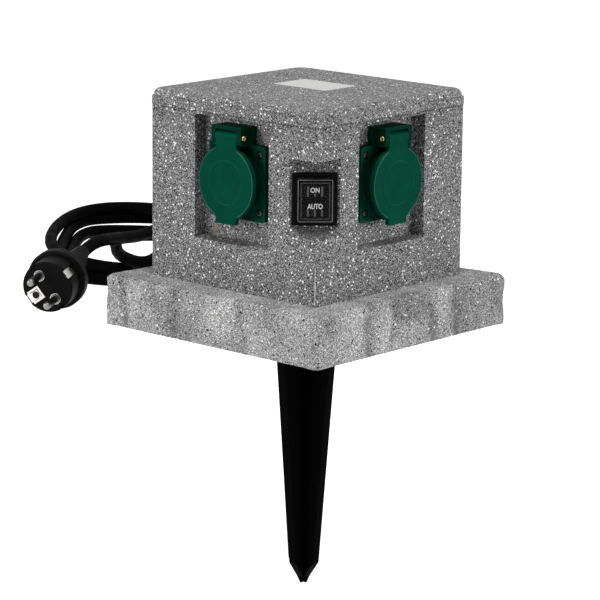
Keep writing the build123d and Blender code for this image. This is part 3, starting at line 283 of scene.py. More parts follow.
# The grooves of each side, which get painted shade: their middle along the side and their width.
stone_grooves = {
    "front": ((-0.0800, 0.0032), (-0.0325, 0.0050), (0.0279, 0.0048)),
    "right": ((-0.0429, 0.0042), (-0.0200, 0.0030), (0.0184, 0.0036), (0.0450, 0.0040)),
    "back": ((-0.0600, 0.0040), (-0.0239, 0.0045), (0.0300, 0.0040)),
    "left": ((-0.0509, 0.0040), (-0.0120, 0.0045), (0.0350, 0.0040)),
}
groove_from = 0.0855
groove_bend = 0.0020
bend_upward, bend_along = 90, 60
# The painted shade and highlight patches of each side: their middle along the side, their width, their
# middle and half height as parts of the base's height, and how dark their painted shade is, with painted
# highlights below zero.
stone_patches = {
    "front": ((-0.0570, 0.0110, 0.60, 0.34, -0.55), (0.0020, 0.0100, 0.45, 0.40, -0.60),
              (0.0520, 0.0140, 0.40, 0.36, -0.35), (-0.0170, 0.0070, 0.30, 0.30, 0.35)),
    "right": ((-0.0010, 0.0165, 0.80, 0.30, 1.10), (-0.0300, 0.0062, 0.38, 0.30, -1.00),
              (0.0300, 0.0072, 0.72, 0.26, -0.90), (-0.0640, 0.0150, 0.50, 0.36, -0.35),
              (0.0640, 0.0110, 0.55, 0.34, -0.40)),
    "back": ((-0.0020, 0.0150, 0.70, 0.30, 0.80), (0.0560, 0.0120, 0.50, 0.36, -0.60)),
    "left": ((0.0120, 0.0150, 0.70, 0.30, 0.70), (-0.0320, 0.0080, 0.45, 0.36, -0.70)),
}
corner_from = 0.080
corner_width = 0.012
corner_band = 0.0040
corner_stand = 0.0009
corner_growth = 1.9
shape = bmesh.new()
shape.from_mesh(evened)
shape.normal_update()
grooved = []
for point in shape.verts:
    x, y, z = point.co
    reach = max(abs(x), abs(y))
    if abs(y) > abs(x):
        side, along_side = ("front", x) if y < 0 else ("back", -x)
    else:
        side, along_side = ("right", y) if x > 0 else ("left", -y)
    outer = min(1, max(0, (reach - housing_half - housing_clear) / soft_start))
    lifted = min(1, max(0, (z - straight_rim) / rim_rise))
    bend = groove_bend * math.sin(z * bend_upward + along_side * bend_along)
    groove = max(math.exp(-((along_side - middle - bend) / width) ** 2) for middle, width in stone_grooves[side])
    for middle, width, rise, half_height, depth in stone_patches[side]:
        off_middle = ((along_side - middle - bend) / width) ** 4 + ((z / high_corner.z - rise) / half_height) ** 4
        groove += depth * math.exp(-off_middle)
    grooved.append(groove * min(1, max(0, (reach - groove_from) / soft_start)))
    if outer > 0 and (reach > edge_from or z > high_corner.z - top_rim):
        share = 1 if reach > edge_from and z < high_corner.z - top_edge else top_share
        coarse, middling, fine = (noise.noise(point.co * hewn_size) for hewn_size in hewn_sizes)
        swell = coarse * stone_swell + middling * stone_swell * second_share
        point.co += point.normal * (swell + fine * stone_chips + stone_stand) * outer * lifted * share
        cornered = min(1, max(0, (min(abs(x), abs(y)) - corner_from) / corner_width))
        if reach > base_half - corner_band:
            corner_push = corner_stand * cornered * cornered * (corner_growth - lifted)
            point.co += Vector((x, y, 0)).normalized() * corner_push
            straightened = (1 - min(1, z / straight_rim)) * (1 - cornered)
            if abs(y) > abs(x):
                point.co.y += math.copysign(max(0, base_half - abs(y)) * straightened, y)
            else:
                point.co.x += math.copysign(max(0, base_half - abs(x)) * straightened, x)
shape.to_mesh(evened)
shape.free()
kept_grooves = evened.attributes.new("groove", "FLOAT", "POINT")
kept_grooves.data.foreach_set("value", grooved)
for face in evened.polygons:
    face.use_smooth = True
evened.materials.clear()
evened.materials.append(stone)
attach(base, "socket_box")
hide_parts("base_plate")


# The ground spike: two tapered fins of satin black plastic, moulded in one, that push up into a
# black holder inside the base; four long steel screws hold the stack together.
def coat(material, *names):
    """Gives the material to the frame's own pieces."""
    for name in names:
        nodes[name].data.materials.clear()
        nodes[name].data.materials.append(material)


def dark_plastic(name, tone, roughness, specular, texture, depth):
    """Black moulded plastic with a fine texture in its surface and a slightly uneven sheen."""
    made, tree, shader = finish(name, Specular_IOR_Level=specular)
    place = put(tree, "ShaderNodeTexCoord").outputs["Object"]
    skin = put(tree, "ShaderNodeTexNoise", {"Vector": place, "Scale": texture, "Detail": 3.0})
    patches = put(tree, "ShaderNodeTexNoise", {"Vector": place, "Scale": 60.0, "Detail": 2.0})
    sheen = put(tree, "ShaderNodeMapRange", {"Value": patches.outputs["Fac"], "From Min": 0.3, "From Max": 0.7,
                                             "To Min": roughness * 0.85, "To Max": roughness * 1.15})
    tone_mix = put(tree, "ShaderNodeMix", {"Factor": patches.outputs["Fac"],
                                           "A": (tone * 0.8, tone * 0.8, tone * 0.8),
                                           "B": (tone * 1.25, tone * 1.25, tone * 1.3)}, data_type="VECTOR")
    bump = put(tree, "ShaderNodeBump", {"Height": skin.outputs["Fac"], "Distance": depth, "Strength": 0.6})
    tree.links.new(sheen.outputs[0], shader.inputs["Roughness"])
    tree.links.new(tone_mix.outputs[1], shader.inputs["Base Color"])
    tree.links.new(bump.outputs[0], shader.inputs["Normal"])
    return made


spike_plastic = dark_plastic("satin_spike_plastic", tone=0.001, roughness=0.55, specular=0.008, texture=1400.0,
                             depth=0.00004)
black_plastic = dark_plastic("black_housing_plastic", tone=0.003, roughness=0.45, specular=0.05, texture=1600.0,
                             depth=0.00003)
coat(spike_plastic, "ground_spike")
coat(black_plastic, "spike_holder")

steel, tree, shader = finish("plain_steel", Metallic=1.0)
place = put(tree, "ShaderNodeTexCoord").outputs["Object"]
drawn = put(tree, "ShaderNodeMapping", {"Vector": place, "Scale": (1.0, 1.0, 0.06)})
lines = put(tree, "ShaderNodeTexNoise", {"Vector": drawn.outputs[0], "Scale": 3000.0, "Detail": 2.0})
rough = put(tree, "ShaderNodeMapRange", {"Value": lines.outputs["Fac"], "To Min": 0.22, "To Max": 0.42})
tree.links.new(rough.outputs[0], shader.inputs["Roughness"])
shader.inputs["Base Color"].default_value = (0.62, 0.61, 0.6, 1)
coat(steel, "tie_screws")


# The housing and its roof: grey plastic with a dense black and white fleck, like granite, rough
# to the touch. The roof is a cap over the rim, with a pale bare panel let into its top.
roof_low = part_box("roof_cover")[0].z
line_below, light_below = 0.0018, 0.45
line_above, light_above = 0.0009, 0.35


def height_shading(dark_from, dark_to, kept_light):
    """The shading of a thin shadow line at one height."""
    def shading(tree):
        height = put(tree, "ShaderNodeSeparateXYZ", {"Vector": put(tree, "ShaderNodeTexCoord").outputs["Object"]})
        return put(tree, "ShaderNodeMapRange", {"Value": height.outputs["Z"], "From Min": dark_from,
                                                "From Max": dark_to, "To Min": kept_light,
                                                "To Max": 1.0}).outputs[0]
    return shading


def mottled(name, dark, pale, scale, detail=2.0, rough=None, stretch=None, **plain):
    """A material whose colour drifts between two, and its roughness too when it gets a span."""
    made, tree, shader = finish(name, **plain)
    place = put(tree, "ShaderNodeTexCoord").outputs["Object"]
    if stretch:
        place = put(tree, "ShaderNodeMapping", {"Vector": place, "Scale": stretch}).outputs[0]
    drift = put(tree, "ShaderNodeTexNoise", {"Vector": place, "Scale": scale, "Detail": detail}).outputs["Fac"]
    tint = put(tree, "ShaderNodeMix", {"Factor": drift, "A": dark, "B": pale}, data_type="VECTOR")
    tree.links.new(tint.outputs[1], shader.inputs["Base Color"])
    if rough:
        sheen = put(tree, "ShaderNodeMapRange", {"Value": drift, "To Min": rough[0], "To Max": rough[1]})
        tree.links.new(sheen.outputs[0], shader.inputs["Roughness"])
    return made


niche_low, niche_head = 0.0778, 0.1278
niche_half = 0.0163
niche_depth = 0.06
niche_light = 0.6
slant = 0.7071


def housing_shading(tree):
    """The shadow line under the roof, and less light in the switch's niche at the front corner."""
    place = put(tree, "ShaderNodeTexCoord").outputs["Object"]
    height = put(tree, "ShaderNodeSeparateXYZ", {"Vector": place}).outputs["Z"]
    across, outward = (put(tree, "ShaderNodeVectorMath", {0: place, 1: (slant, depth_way, 0.0)},
                           operation="DOT_PRODUCT").outputs["Value"] for depth_way in (slant, -slant))
    aside = put(tree, "ShaderNodeMath", {0: across}, operation="ABSOLUTE").outputs[0]
    inside = put(tree, "ShaderNodeMath", {0: aside, 1: niche_half}, operation="LESS_THAN").outputs[0]
    for value, limit, test in ((outward, niche_depth, "GREATER_THAN"), (height, niche_low, "GREATER_THAN"),
                               (height, niche_head, "LESS_THAN")):
        passed = put(tree, "ShaderNodeMath", {0: value, 1: limit}, operation=test).outputs[0]
        inside = put(tree, "ShaderNodeMath", {0: inside, 1: passed}, operation="MULTIPLY").outputs[0]
    shade = put(tree, "ShaderNodeMapRange", {"Value": inside, "To Min": 1.0, "To Max": niche_light}).outputs[0]
    line = height_shading(roof_low, roof_low - line_below, light_below)(tree)
    return put(tree, "ShaderNodeMath", {0: line, 1: shade}, operation="MULTIPLY").outputs[0]


granite = speckled("granite_plastic", size=0.00042, level=0.206, contrast=0.95, cloudiness=0.06, pale=(0.145, 1.0),
                   dark=(0.17, 0.002), roughness=0.7, relief=0.0002, shading=housing_shading)
roof_granite = speckled("roof_granite_plastic", size=0.00042, level=0.205, contrast=0.85, cloudiness=0.08,
                        pale=(0.13, 1.0), dark=(0.15, 0.002), roughness=0.65, relief=0.0002,
                        shading=height_shading(roof_low, roof_low + line_above, light_above))
coat(granite, "body_housing")
coat(roof_granite, "roof_cover")

# The panel's own pale grey, with painted highlight streaks drawn along it.
foil = mottled("pale_panel_foil", dark=(0.42, 0.42, 0.42), pale=(0.64, 0.64, 0.63), scale=900.0, detail=3.0,
               stretch=(0.15, 1.0, 1.0), Roughness=0.35, Specular_IOR_Level=0.4)
coat(foil, "top_panel")

# A thin raised mould seam down the housing's front corner, coloured pale as a painted highlight.
seam_length = 0.025
seam_height = 0.0475
seam_foot, seam_tip = 0.0003, 0.0002
seam_highlight = mottled("mould_seam_highlight", dark=(0.25, 0.25, 0.25), pale=(1.0, 1.0, 1.0), scale=500.0, Roughness=0.5)
shape = bmesh.new()
corner_out = Vector((1, -1, 0)).normalized()
corner_reach = max(point.co.dot(corner_out) for point in nodes["body_housing"].data.vertices
                   if 0.01 < point.co.z < 0.05)
bmesh.ops.create_cone(shape, cap_ends=True, segments=10, radius1=seam_foot, radius2=seam_tip, depth=seam_length,
                      matrix=Matrix.Translation(corner_out * corner_reach + Vector((0, 0, seam_height))))
seam_highlight_line = piece("mould_seam_highlight_line", made_mesh(shape, "mould_seam_highlight"), seam_highlight)
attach(seam_highlight_line, "socket_box")

mark_place = Vector((-0.0225, -0.0640, 0.0705))
mark_rings = ((0.0037, 0.00035), (0.0024, 0.0003), (0.0009, 0.00045))
buff = mottled("moulded_mark", dark=(0.10, 0.09, 0.06), pale=(0.42, 0.39, 0.33), scale=700.0, Roughness=0.6)


def bead(shape, place, radius, thickness, angles, closed=True):
    """A half-round bead along an arc about the Z axis of the placing matrix, raised along that axis."""
    rings = []
    for angle in angles:
        spoke = Vector((math.cos(angle), math.sin(angle), 0))
        rings.append([shape.verts.new(place @ (spoke * (radius + thickness * math.cos(turn))
                                               + Vector((0, 0, thickness * math.sin(turn)))))
                      for turn in (0, math.pi / 3, 2 * math.pi / 3, math.pi)])
    for one, other in zip(rings, rings[1:] + (rings[:1] if closed else [])):
        for corner in range(3):
            shape.faces.new((one[corner], one[corner + 1], other[corner + 1], other[corner]))


def full_turn(steps):
    """The angles of a full turn in equal steps."""
    return [2 * math.pi * step / steps for step in range(steps)]


facing_front = Matrix(((1, 0, 0), (0, 0, -1), (0, 1, 0))).to_4x4()
shape = bmesh.new()
for radius, thickness in mark_rings:
    bead(shape, Matrix.Translation(mark_place) @ facing_front, radius, thickness, full_turn(36))
window_mark = piece("window_mark", made_mesh(shape, "window_mark", True), buff)
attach(window_mark, "socket_box")

sides = ("front", "right", "back", "left")
soft_black = dark_plastic("soft_black_rubber", tone=0.004, roughness=0.62, specular=0.06, texture=900.0,
                          depth=0.00006)
coat(soft_black, "roof_seal", *[f"{side}_lid_gasket" for side in sides])


# The four sockets: frames, faces and spring lids of dark green semi-gloss plastic, brass pins and
# contacts, steel springs, and four small screws in each flange.
edges = bpy.data.node_groups.new("edge_light", "ShaderNodeTree")
edges.interface.new_socket("Reach", in_out="INPUT", socket_type="NodeSocketFloat")
edges.interface.new_socket("Edge", in_out="OUTPUT", socket_type="NodeSocketFloat")
given = put(edges, "NodeGroupInput")
rounded = put(edges, "ShaderNodeBevel", {"Radius": given.outputs["Reach"]}, samples=4)
flat = put(edges, "ShaderNodeNewGeometry")
across = put(edges, "ShaderNodeVectorMath", {0: rounded.outputs[0], 1: flat.outputs["Normal"]},
             operation="DOT_PRODUCT")
edge = put(edges, "ShaderNodeMapRange", {"Value": across.outputs["Value"], "From Min": 0.97, "From Max": 0.8,
                                         "To Min": 0.0, "To Max": 1.0})
put(edges, "NodeGroupOutput", {"Edge": edge.outputs[0]})

edge_highlight_reach = 0.0009
rim_depth = 0.0012


def green_plastic(name, colour, painted_light, roughness, shaded_from=None):
    """Moulded plastic with a fine texture, edges paler with painted highlight, and painted shade beyond one
    distance.
    """
    made, tree, shader = finish(name, Specular_IOR_Level=0.008)
    place = put(tree, "ShaderNodeTexCoord").outputs["Object"]
    patches = put(tree, "ShaderNodeTexNoise", {"Vector": place, "Scale": 70.0, "Detail": 3.0})
    skin = put(tree, "ShaderNodeTexNoise", {"Vector": place, "Scale": 1800.0, "Detail": 2.0})
    edge = put(tree, "ShaderNodeGroup", node_tree=edges)
    edge.inputs["Reach"].default_value = edge_highlight_reach
    tone = put(tree, "ShaderNodeMapRange", {"Value": patches.outputs["Fac"], "From Min": 0.3, "From Max": 0.7,
                                            "To Min": 0.88, "To Max": 1.12})
    body = put(tree, "ShaderNodeVectorMath", {0: colour, 1: tone.outputs[0]}, operation="MULTIPLY")
    toned = put(tree, "ShaderNodeMix", {"Factor": edge.outputs["Edge"], "A": body.outputs[0], "B": painted_light},
                data_type="VECTOR").outputs[1]
    if shaded_from:
        spread = put(tree, "ShaderNodeVectorMath", {0: place}, operation="ABSOLUTE")
        parts = put(tree, "ShaderNodeSeparateXYZ", {"Vector": spread.outputs[0]})
        reach = put(tree, "ShaderNodeMath", {0: parts.outputs["X"], 1: parts.outputs["Y"]}, operation="MAXIMUM")
        shade = put(tree, "ShaderNodeMapRange", {"Value": reach.outputs[0], "From Min": shaded_from,
                                                 "From Max": shaded_from + rim_depth, "To Min": 1.0, "To Max": 0.6})
        toned = put(tree, "ShaderNodeVectorMath", {0: toned, 1: shade.outputs[0]}, operation="MULTIPLY").outputs[0]
    sheen = put(tree, "ShaderNodeMapRange", {"Value": patches.outputs["Fac"], "From Min": 0.3, "From Max": 0.7,
                                             "To Min": roughness * 0.9, "To Max": roughness * 1.1})
    bump = put(tree, "ShaderNodeBump", {"Height": skin.outputs["Fac"], "Distance": 0.00002, "Strength": 0.5})
    tree.links.new(toned, shader.inputs["Base Color"])
    tree.links.new(sheen.outputs[0], shader.inputs["Roughness"])
    tree.links.new(bump.outputs[0], shader.inputs["Normal"])
    return made


# Each green's paler edge colour is a painted highlight; the frames also get painted shade on what stands out in
# front of the flange face.
lid_green = green_plastic("green_lid_plastic", colour=(0.0010, 0.055, 0.030), painted_light=(0.010, 0.105, 0.065),
                          roughness=0.36)
frame_green = green_plastic("green_frame_plastic", colour=(0.0010, 0.042, 0.023), painted_light=(0.012, 0.10, 0.062),
                            roughness=0.38, shaded_from=0.0685)
coat(lid_green, *[f"{side}_lid" for side in sides])
coat(frame_green, *[f"{side}_frame" for side in sides], *[f"{side}_insert" for side in sides])

brass = mottled("bright_brass", dark=(0.55, 0.36, 0.12), pale=(0.85, 0.64, 0.30), scale=700.0, detail=3.0,
                rough=(0.22, 0.45), Metallic=1.0)
coat(brass, *[f"{side}_hinge_pin" for side in sides], *[f"{side}_contacts" for side in sides])
coat(steel, *[f"{side}_lid_spring" for side in sides])

screw_grid = 0.0192
socket_middle = 0.1063
flange_face = 0.0680
spot_corners = ((0, 0, 0.0002), (-0.0002, 0, -0.0001), (0.0002, 0, -0.0001))
shape = bmesh.new()
for number in range(4):
    turned = Matrix.Rotation(math.pi / 2 * number, 4, "Z")
    for side_place in (-screw_grid, screw_grid):
        for height_place in (-screw_grid, screw_grid):
            middle = Vector((side_place, -flange_face, socket_middle + height_place))
            shape.faces.new([shape.verts.new(turned @ (middle + Vector(corner))) for corner in spot_corners])
spots = made_mesh(shape, "screw_spots")
screw_metal = mottled("screw_metal", dark=(0.004, 0.005, 0.004), pale=(0.10, 0.10, 0.095), scale=900.0, detail=3.0,
                      rough=(0.2, 0.45), Metallic=1.0)
slot_dark = dark_plastic("screw_slot_shade", tone=0.004, roughness=0.6, specular=0.02, texture=1200.0,
                         depth=0.00002)

setter = bpy.data.node_groups.new("set_screws", "GeometryNodeTree")
setter.interface.new_socket("Geometry", in_out="INPUT", socket_type="NodeSocketGeometry")
named = {}
for name, kind in (("Head radius", "NodeSocketFloat"), ("Head height", "NodeSocketFloat"),
                   ("Slot width", "NodeSocketFloat"), ("Metal", "NodeSocketMaterial"),
                   ("Slot shade", "NodeSocketMaterial")):
    named[name] = setter.interface.new_socket(name, in_out="INPUT", socket_type=kind).identifier
setter.interface.new_socket("Geometry", in_out="OUTPUT", socket_type="NodeSocketGeometry")
given = put(setter, "NodeGroupInput")
kept = put(setter, "GeometryNodeCaptureAttribute", domain="FACE")
kept.capture_items.new("VECTOR", "Facing")
setter.links.new(given.outputs["Geometry"], kept.inputs["Geometry"])
setter.links.new(put(setter, "GeometryNodeInputNormal").outputs[0], kept.inputs["Facing"])
spots_node = put(setter, "GeometryNodeMeshToPoints", {"Mesh": kept.outputs["Geometry"]}, mode="FACES")
facing = put(setter, "FunctionNodeAlignRotationToVector", {"Vector": kept.outputs["Facing"]}, axis="Z")
chance = put(setter, "FunctionNodeRandomValue", {"Min": 0.0, "Max": 3.1, "Seed": 4}, data_type="FLOAT")
spin = put(setter, "FunctionNodeAxisAngleToRotation", {"Axis": (0, 0, 1), "Angle": chance.outputs[1]})
aimed = put(setter, "FunctionNodeRotateRotation", {"Rotation": facing.outputs[0], "Rotate By": spin.outputs[0]},
            rotation_space="LOCAL")
top_radius = put(setter, "ShaderNodeMath", {0: given.outputs["Head radius"], 1: 0.72}, operation="MULTIPLY")
head = put(setter, "GeometryNodeMeshCone", {"Vertices": 28, "Radius Top": top_radius.outputs[0],
                                            "Radius Bottom": given.outputs["Head radius"],
                                            "Depth": given.outputs["Head height"]})
slot_length = put(setter, "ShaderNodeMath", {0: given.outputs["Head radius"], 1: 1.15}, operation="MULTIPLY")
size = put(setter, "ShaderNodeCombineXYZ", {"X": slot_length.outputs[0], "Y": given.outputs["Slot width"],
                                            "Z": given.outputs["Slot width"]})
bar = put(setter, "GeometryNodeMeshCube", {"Size": size.outputs[0]})
crossed = put(setter, "GeometryNodeTransform", {"Geometry": bar.outputs["Mesh"], "Rotation": (0, 0, math.pi / 2)})
cross = put(setter, "GeometryNodeJoinGeometry")
setter.links.new(bar.outputs["Mesh"], cross.inputs[0])
setter.links.new(crossed.outputs[0], cross.inputs[0])
low = put(setter, "ShaderNodeMath", {0: given.outputs["Slot width"], 1: 0.42}, operation="MULTIPLY")
level = put(setter, "ShaderNodeMath", {0: given.outputs["Head height"], 1: low.outputs[0]}, operation="SUBTRACT")
lift = put(setter, "ShaderNodeCombineXYZ", {"Z": level.outputs[0]})
sunk = put(setter, "GeometryNodeTransform", {"Geometry": cross.outputs[0], "Translation": lift.outputs[0]})
joined = put(setter, "GeometryNodeJoinGeometry")
for part, stuff in ((head.outputs["Mesh"], "Metal"), (sunk.outputs[0], "Slot shade")):
    set_out = put(setter, "GeometryNodeInstanceOnPoints", {"Points": spots_node.outputs[0], "Instance": part,
                                                           "Rotation": aimed.outputs[0]})
    made_real = put(setter, "GeometryNodeRealizeInstances", {"Geometry": set_out.outputs[0]})
    dressed = put(setter, "GeometryNodeSetMaterial", {"Geometry": made_real.outputs[0],
                                                      "Material": given.outputs[stuff]})
    setter.links.new(dressed.outputs[0], joined.inputs[0])
put(setter, "NodeGroupOutput", {"Geometry": joined.outputs[0]})

screws = piece("flange_screw_heads", spots)
modifier = screws.modifiers.new("screws", "NODES")
modifier.node_group = setter
for name, value in (("Head radius", 0.0021), ("Head height", 0.0006), ("Slot width", 0.0006),
                    ("Metal", screw_metal), ("Slot shade", slot_dark)):
    modifier[named[name]] = value
screws.data = carried_out(screws)
screws.modifiers.clear()
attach(screws, "socket_box")
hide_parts(*[f"{side}_flange_screws" for side in sides])

# Painted highlight: a thin pale green bead along two arcs of each lid's rim, where its rounded edge would catch the
# light.
rim_radius = 0.0237
rim_thickness = 0.00016
ring_height = 0.00035
rim_arcs = ((25, 155), (205, 335))
rim_steps = 40
rim_highlight = mottled("lid_rim_painted_highlight", dark=(0.002, 0.05, 0.03), pale=(0.05, 0.30, 0.20), scale=120.0, Roughness=0.3,
                    Specular_IOR_Level=0.2)
front_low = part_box("front_lid")[0]
from_the_top = Matrix(((0, 1, 0), (0, 0, -1), (1, 0, 0))).to_4x4()
for number, side in enumerate(sides):
    turned = Matrix.Rotation(math.pi / 2 * number, 4, "Z")
    middle = Vector((0, front_low.y + ring_height, socket_middle))
    shape = bmesh.new()
    for start, end in rim_arcs:
        angles = [math.radians(start + (end - start) * step / rim_steps) for step in range(rim_steps + 1)]
        bead(shape, turned @ Matrix.Translation(middle) @ from_the_top, rim_radius, rim_thickness, angles, False)
    rim_highlight_bead = piece(f"{side}_lid_rim_highlight", made_mesh(shape, f"{side}_lid_rim_highlight", True), rim_highlight)
    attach(rim_highlight_bead, f"{side}_lid_body")

dimple_radius = 0.00062
dimple_depth = 0.0002
pin_rim_radius = 0.00125
pin_rim_thickness = 0.0004
dimple_dark = dark_plastic("pin_dimple_shade", tone=0.006, roughness=0.5, specular=0.05, texture=1200.0,
                           depth=0.00002)
shape = bmesh.new()
rings_shape = bmesh.new()
for side in sides:
    low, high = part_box(f"{side}_hinge_pin")
    middle = (low + high) / 2
    lengthways = 0 if high.x - low.x > high.y - low.y else 1
    for sign, end in ((-1, low[lengthways]), (1, high[lengthways])):
        spot = middle.copy()
        spot[lengthways] = end
        outwards = Vector((0, 0, 0))
        outwards[lengthways] = sign
        facing = outwards.to_track_quat("Z", "Y").to_matrix().to_4x4()
        bmesh.ops.create_cone(shape, cap_ends=True, segments=20, radius1=dimple_radius, radius2=dimple_radius,
                              depth=dimple_depth,
                              matrix=Matrix.Translation(spot + outwards * dimple_depth / 2) @ facing)
        bead(rings_shape, Matrix.Translation(spot) @ facing, pin_rim_radius, pin_rim_thickness, full_turn(28))
pin_dimples = piece("pin_dimples", made_mesh(shape, "pin_dimples"), dimple_dark)
pin_rims = piece("pin_rims", made_mesh(rings_shape, "pin_rims", True), brass)
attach(pin_dimples, "socket_box")
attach(pin_rims, "socket_box")


# The switch: a black frame pressed into the corner, a rocker with white lettering and grey bars,
# and a clear soft boot over it.
bezel_plastic = dark_plastic("switch_plastic", tone=0.0022, roughness=0.4, specular=0.03, texture=1500.0,
                             depth=0.00002)
coat(bezel_plastic, "switch_bezel", "switch_rocker")
coat(brass, "switch_terminals")

clear = mottled("clear_boot_film", dark=(0.04, 0.04, 0.042), pale=(0.10, 0.10, 0.103), scale=150.0, Roughness=0.2,
                Specular_IOR_Level=0.15)
tree = clear.node_tree
facing = put(tree, "ShaderNodeLayerWeight", {"Blend": 0.35})
veil = put(tree, "ShaderNodeMapRange", {"Value": facing.outputs["Facing"], "From Min": 0.3, "From Max": 1.0,
                                        "To Min": 0.05, "To Max": 0.35})
tree.links.new(veil.outputs["Result"], tree.nodes["Principled BSDF"].inputs["Alpha"])
coat(clear, "switch_boot")

rocker_pivot = Vector((0.062439, -0.062439, 0.1019))
along = Vector((1, 1, 0)).normalized()
outward = Vector((1, -1, 0)).normalized()
upward = Vector((0, 0, 1))
tilt = math.radians(20)
face_out, face_drop = 0.00197, 0.000347
face_centre = rocker_pivot + outward * face_out
lower_face = Matrix.Translation(face_centre) @ Matrix((along, upward, outward)).transposed().to_4x4()
tilted_up = upward * math.cos(tilt) + outward * math.sin(tilt)
tilted_out = outward * math.cos(tilt) - upward * math.sin(tilt)
upper_place = face_centre - upward * face_drop
upper_face = Matrix.Translation(upper_place) @ Matrix((along, tilted_up, tilted_out)).transposed().to_4x4()

# Painted highlight: pale lines along the clear boot's outer edge and an inner outline.
boot_half_width = 0.0110
boot_half_height = 0.0135
boot_corner = 0.0009
boot_front = 0.0906
boot_edge_highlight = mottled("boot_edge_painted_highlight", dark=(0.012, 0.012, 0.012), pale=(0.20, 0.20, 0.20), scale=260.0,
                     Roughness=0.35)
line = bpy.data.curves.new("boot_edge", "CURVE")
line.dimensions = "3D"
line.bevel_depth = 0.00024
line.bevel_resolution = 2
for inset, height, thickness in ((0.0, 0.0062, 1.0), (0.0019, 0.0064, 0.5)):
    spline = line.splines.new("POLY")
    outline = []
    for corner in range(4):
        for step in range(7):
            turn = math.pi / 2 * (corner + step / 6)
            across = boot_half_width - boot_corner - inset
            over = boot_half_height - boot_corner - inset
            side_of = 1 if corner in (0, 3) else -1
            top_of = 1 if corner in (0, 1) else -1
            outline.append((side_of * across + boot_corner * math.cos(turn),
                            top_of * over + boot_corner * math.sin(turn)))
    spline.points.add(len(outline) - 1)
    for point, (across, over) in zip(spline.points, outline):
        place = along * across + outward * (boot_front + height) + upward * (rocker_pivot.z + over)
        point.co = (*place, 1)
        point.radius = thickness
    spline.use_cyclic_u = True
drawn = piece("boot_edge_line", line)
edge_mesh = carried_out(drawn)
bpy.data.objects.remove(drawn)
boot_edge = piece("boot_edge", edge_mesh, boot_edge_highlight)
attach(boot_edge, "socket_box")

print_extrude, print_swell, print_lift = 0.00008, 0.00012, 0.00003
white_print = mottled("white_print", dark=(0.62, 0.62, 0.62), pale=(0.9, 0.9, 0.9), scale=1500.0, Roughness=0.5)
for words, face, centre, size, width in (
    ("ON", upper_face, (0.0, 0.0071), 0.0050, 0.0058),
    ("AUTO", lower_face, (0.0002, -0.0047), 0.0046, 0.0098),
):
    letters = bpy.data.curves.new(words, "FONT")
    letters.body = words
    letters.size = size
    letters.align_x = "CENTER"
    letters.align_y = "CENTER"
    letters.extrude = print_extrude
    letters.offset = print_swell
    drawn = piece(words, letters)
    flat_words = carried_out(drawn)
    bpy.data.objects.remove(drawn)
    xs = [point.co.x for point in flat_words.vertices]
    ys = [point.co.y for point in flat_words.vertices]
    middle = Vector(((min(xs) + max(xs)) / 2, (min(ys) + max(ys)) / 2, 0))
    widen = width / (max(xs) - min(xs))
    for point in flat_words.vertices:
        flat = point.co - middle
        point.co = face @ Vector((flat.x * widen + centre[0], flat.y + centre[1], flat.z + print_lift))
    lettering = piece(f"letters_{words.lower()}", flat_words, white_print)
    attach(lettering, "rocker")

bar_width, bar_height, bar_lift, bar_bevel = 0.0011, 0.00022, 0.00005, 0.00006
grey_print = mottled("grey_bars", dark=(0.05, 0.05, 0.05), pale=(0.11, 0.11, 0.11), scale=1500.0, Roughness=0.5)
shape = bmesh.new()
for face, across_place, bottom, top in (
    (upper_face, -0.0045, 0.0024, 0.0098), (upper_face, 0.0045, 0.0024, 0.0098),
    (upper_face, 0.0, 0.0024, 0.0046), (lower_face, -0.0043, -0.0112, -0.0070),
    (lower_face, 0.0002, -0.0112, -0.0070), (lower_face, 0.0047, -0.0112, -0.0070),
):
    sized = Matrix.Diagonal((bar_width, top - bottom, bar_height, 1))
    middle = Matrix.Translation((across_place, (bottom + top) / 2, bar_lift))
    bmesh.ops.create_cube(shape, size=1.0, matrix=face @ middle @ sized)
bmesh.ops.bevel(shape, geom=shape.edges[:], offset=bar_bevel, segments=1, affect="EDGES")
bars = piece("rocker_bars", made_mesh(shape, "rocker_bars"), grey_print)
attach(bars, "rocker")


# Inside the housing: the receiver board under green lacquer with its black relay and capacitor,
# and a strip of screw terminals in grey plastic.
board_green, tree, shader = finish("board_lacquer", Roughness=0.3)
place = put(tree, "ShaderNodeTexCoord").outputs["Object"]
tracks = put(tree, "ShaderNodeTexBrick", {"Vector": place, "Color1": (0.01, 0.09, 0.04, 1),
                                          "Color2": (0.015, 0.12, 0.05, 1), "Mortar": (0.03, 0.2, 0.09, 1),
                                          "Scale": 120.0, "Mortar Size": 0.03})
tree.links.new(tracks.outputs["Color"], shader.inputs["Base Color"])
coat(board_green, "control_board")
grey_plastic = green_plastic("grey_terminal_plastic", colour=(0.42, 0.42, 0.41), painted_light=(0.6, 0.6, 0.6),
                             roughness=0.5)
coat(grey_plastic, "terminal_block")
coat(black_plastic, "board_relay", "board_capacitor")


# The cord gland low in the left side: a hexagon and a dome nut of black plastic, and the short
# ribbed boot that the cord leaves by.
coat(black_plastic, "gland_body", "gland_locknut", "gland_nut")
coat(soft_black, "gland_boot")


# The cord: about two metres of smooth black rubber cable, 9 mm thick. It drops from the gland,
# crosses the near end of the coil into the loop, goes round three times and out to the plug.
cord_diameter = 0.0090
sideways = Vector((0.7410, 0.6715, 0))
away = Vector((-0.6699, 0.7424, 0))


def lying(side, depth, height):
    """A point of the coil, in millimetres to the right, away from the camera and up."""
    return tuple((sideways * side + away * depth + Vector((0, 0, height))) / 1000)


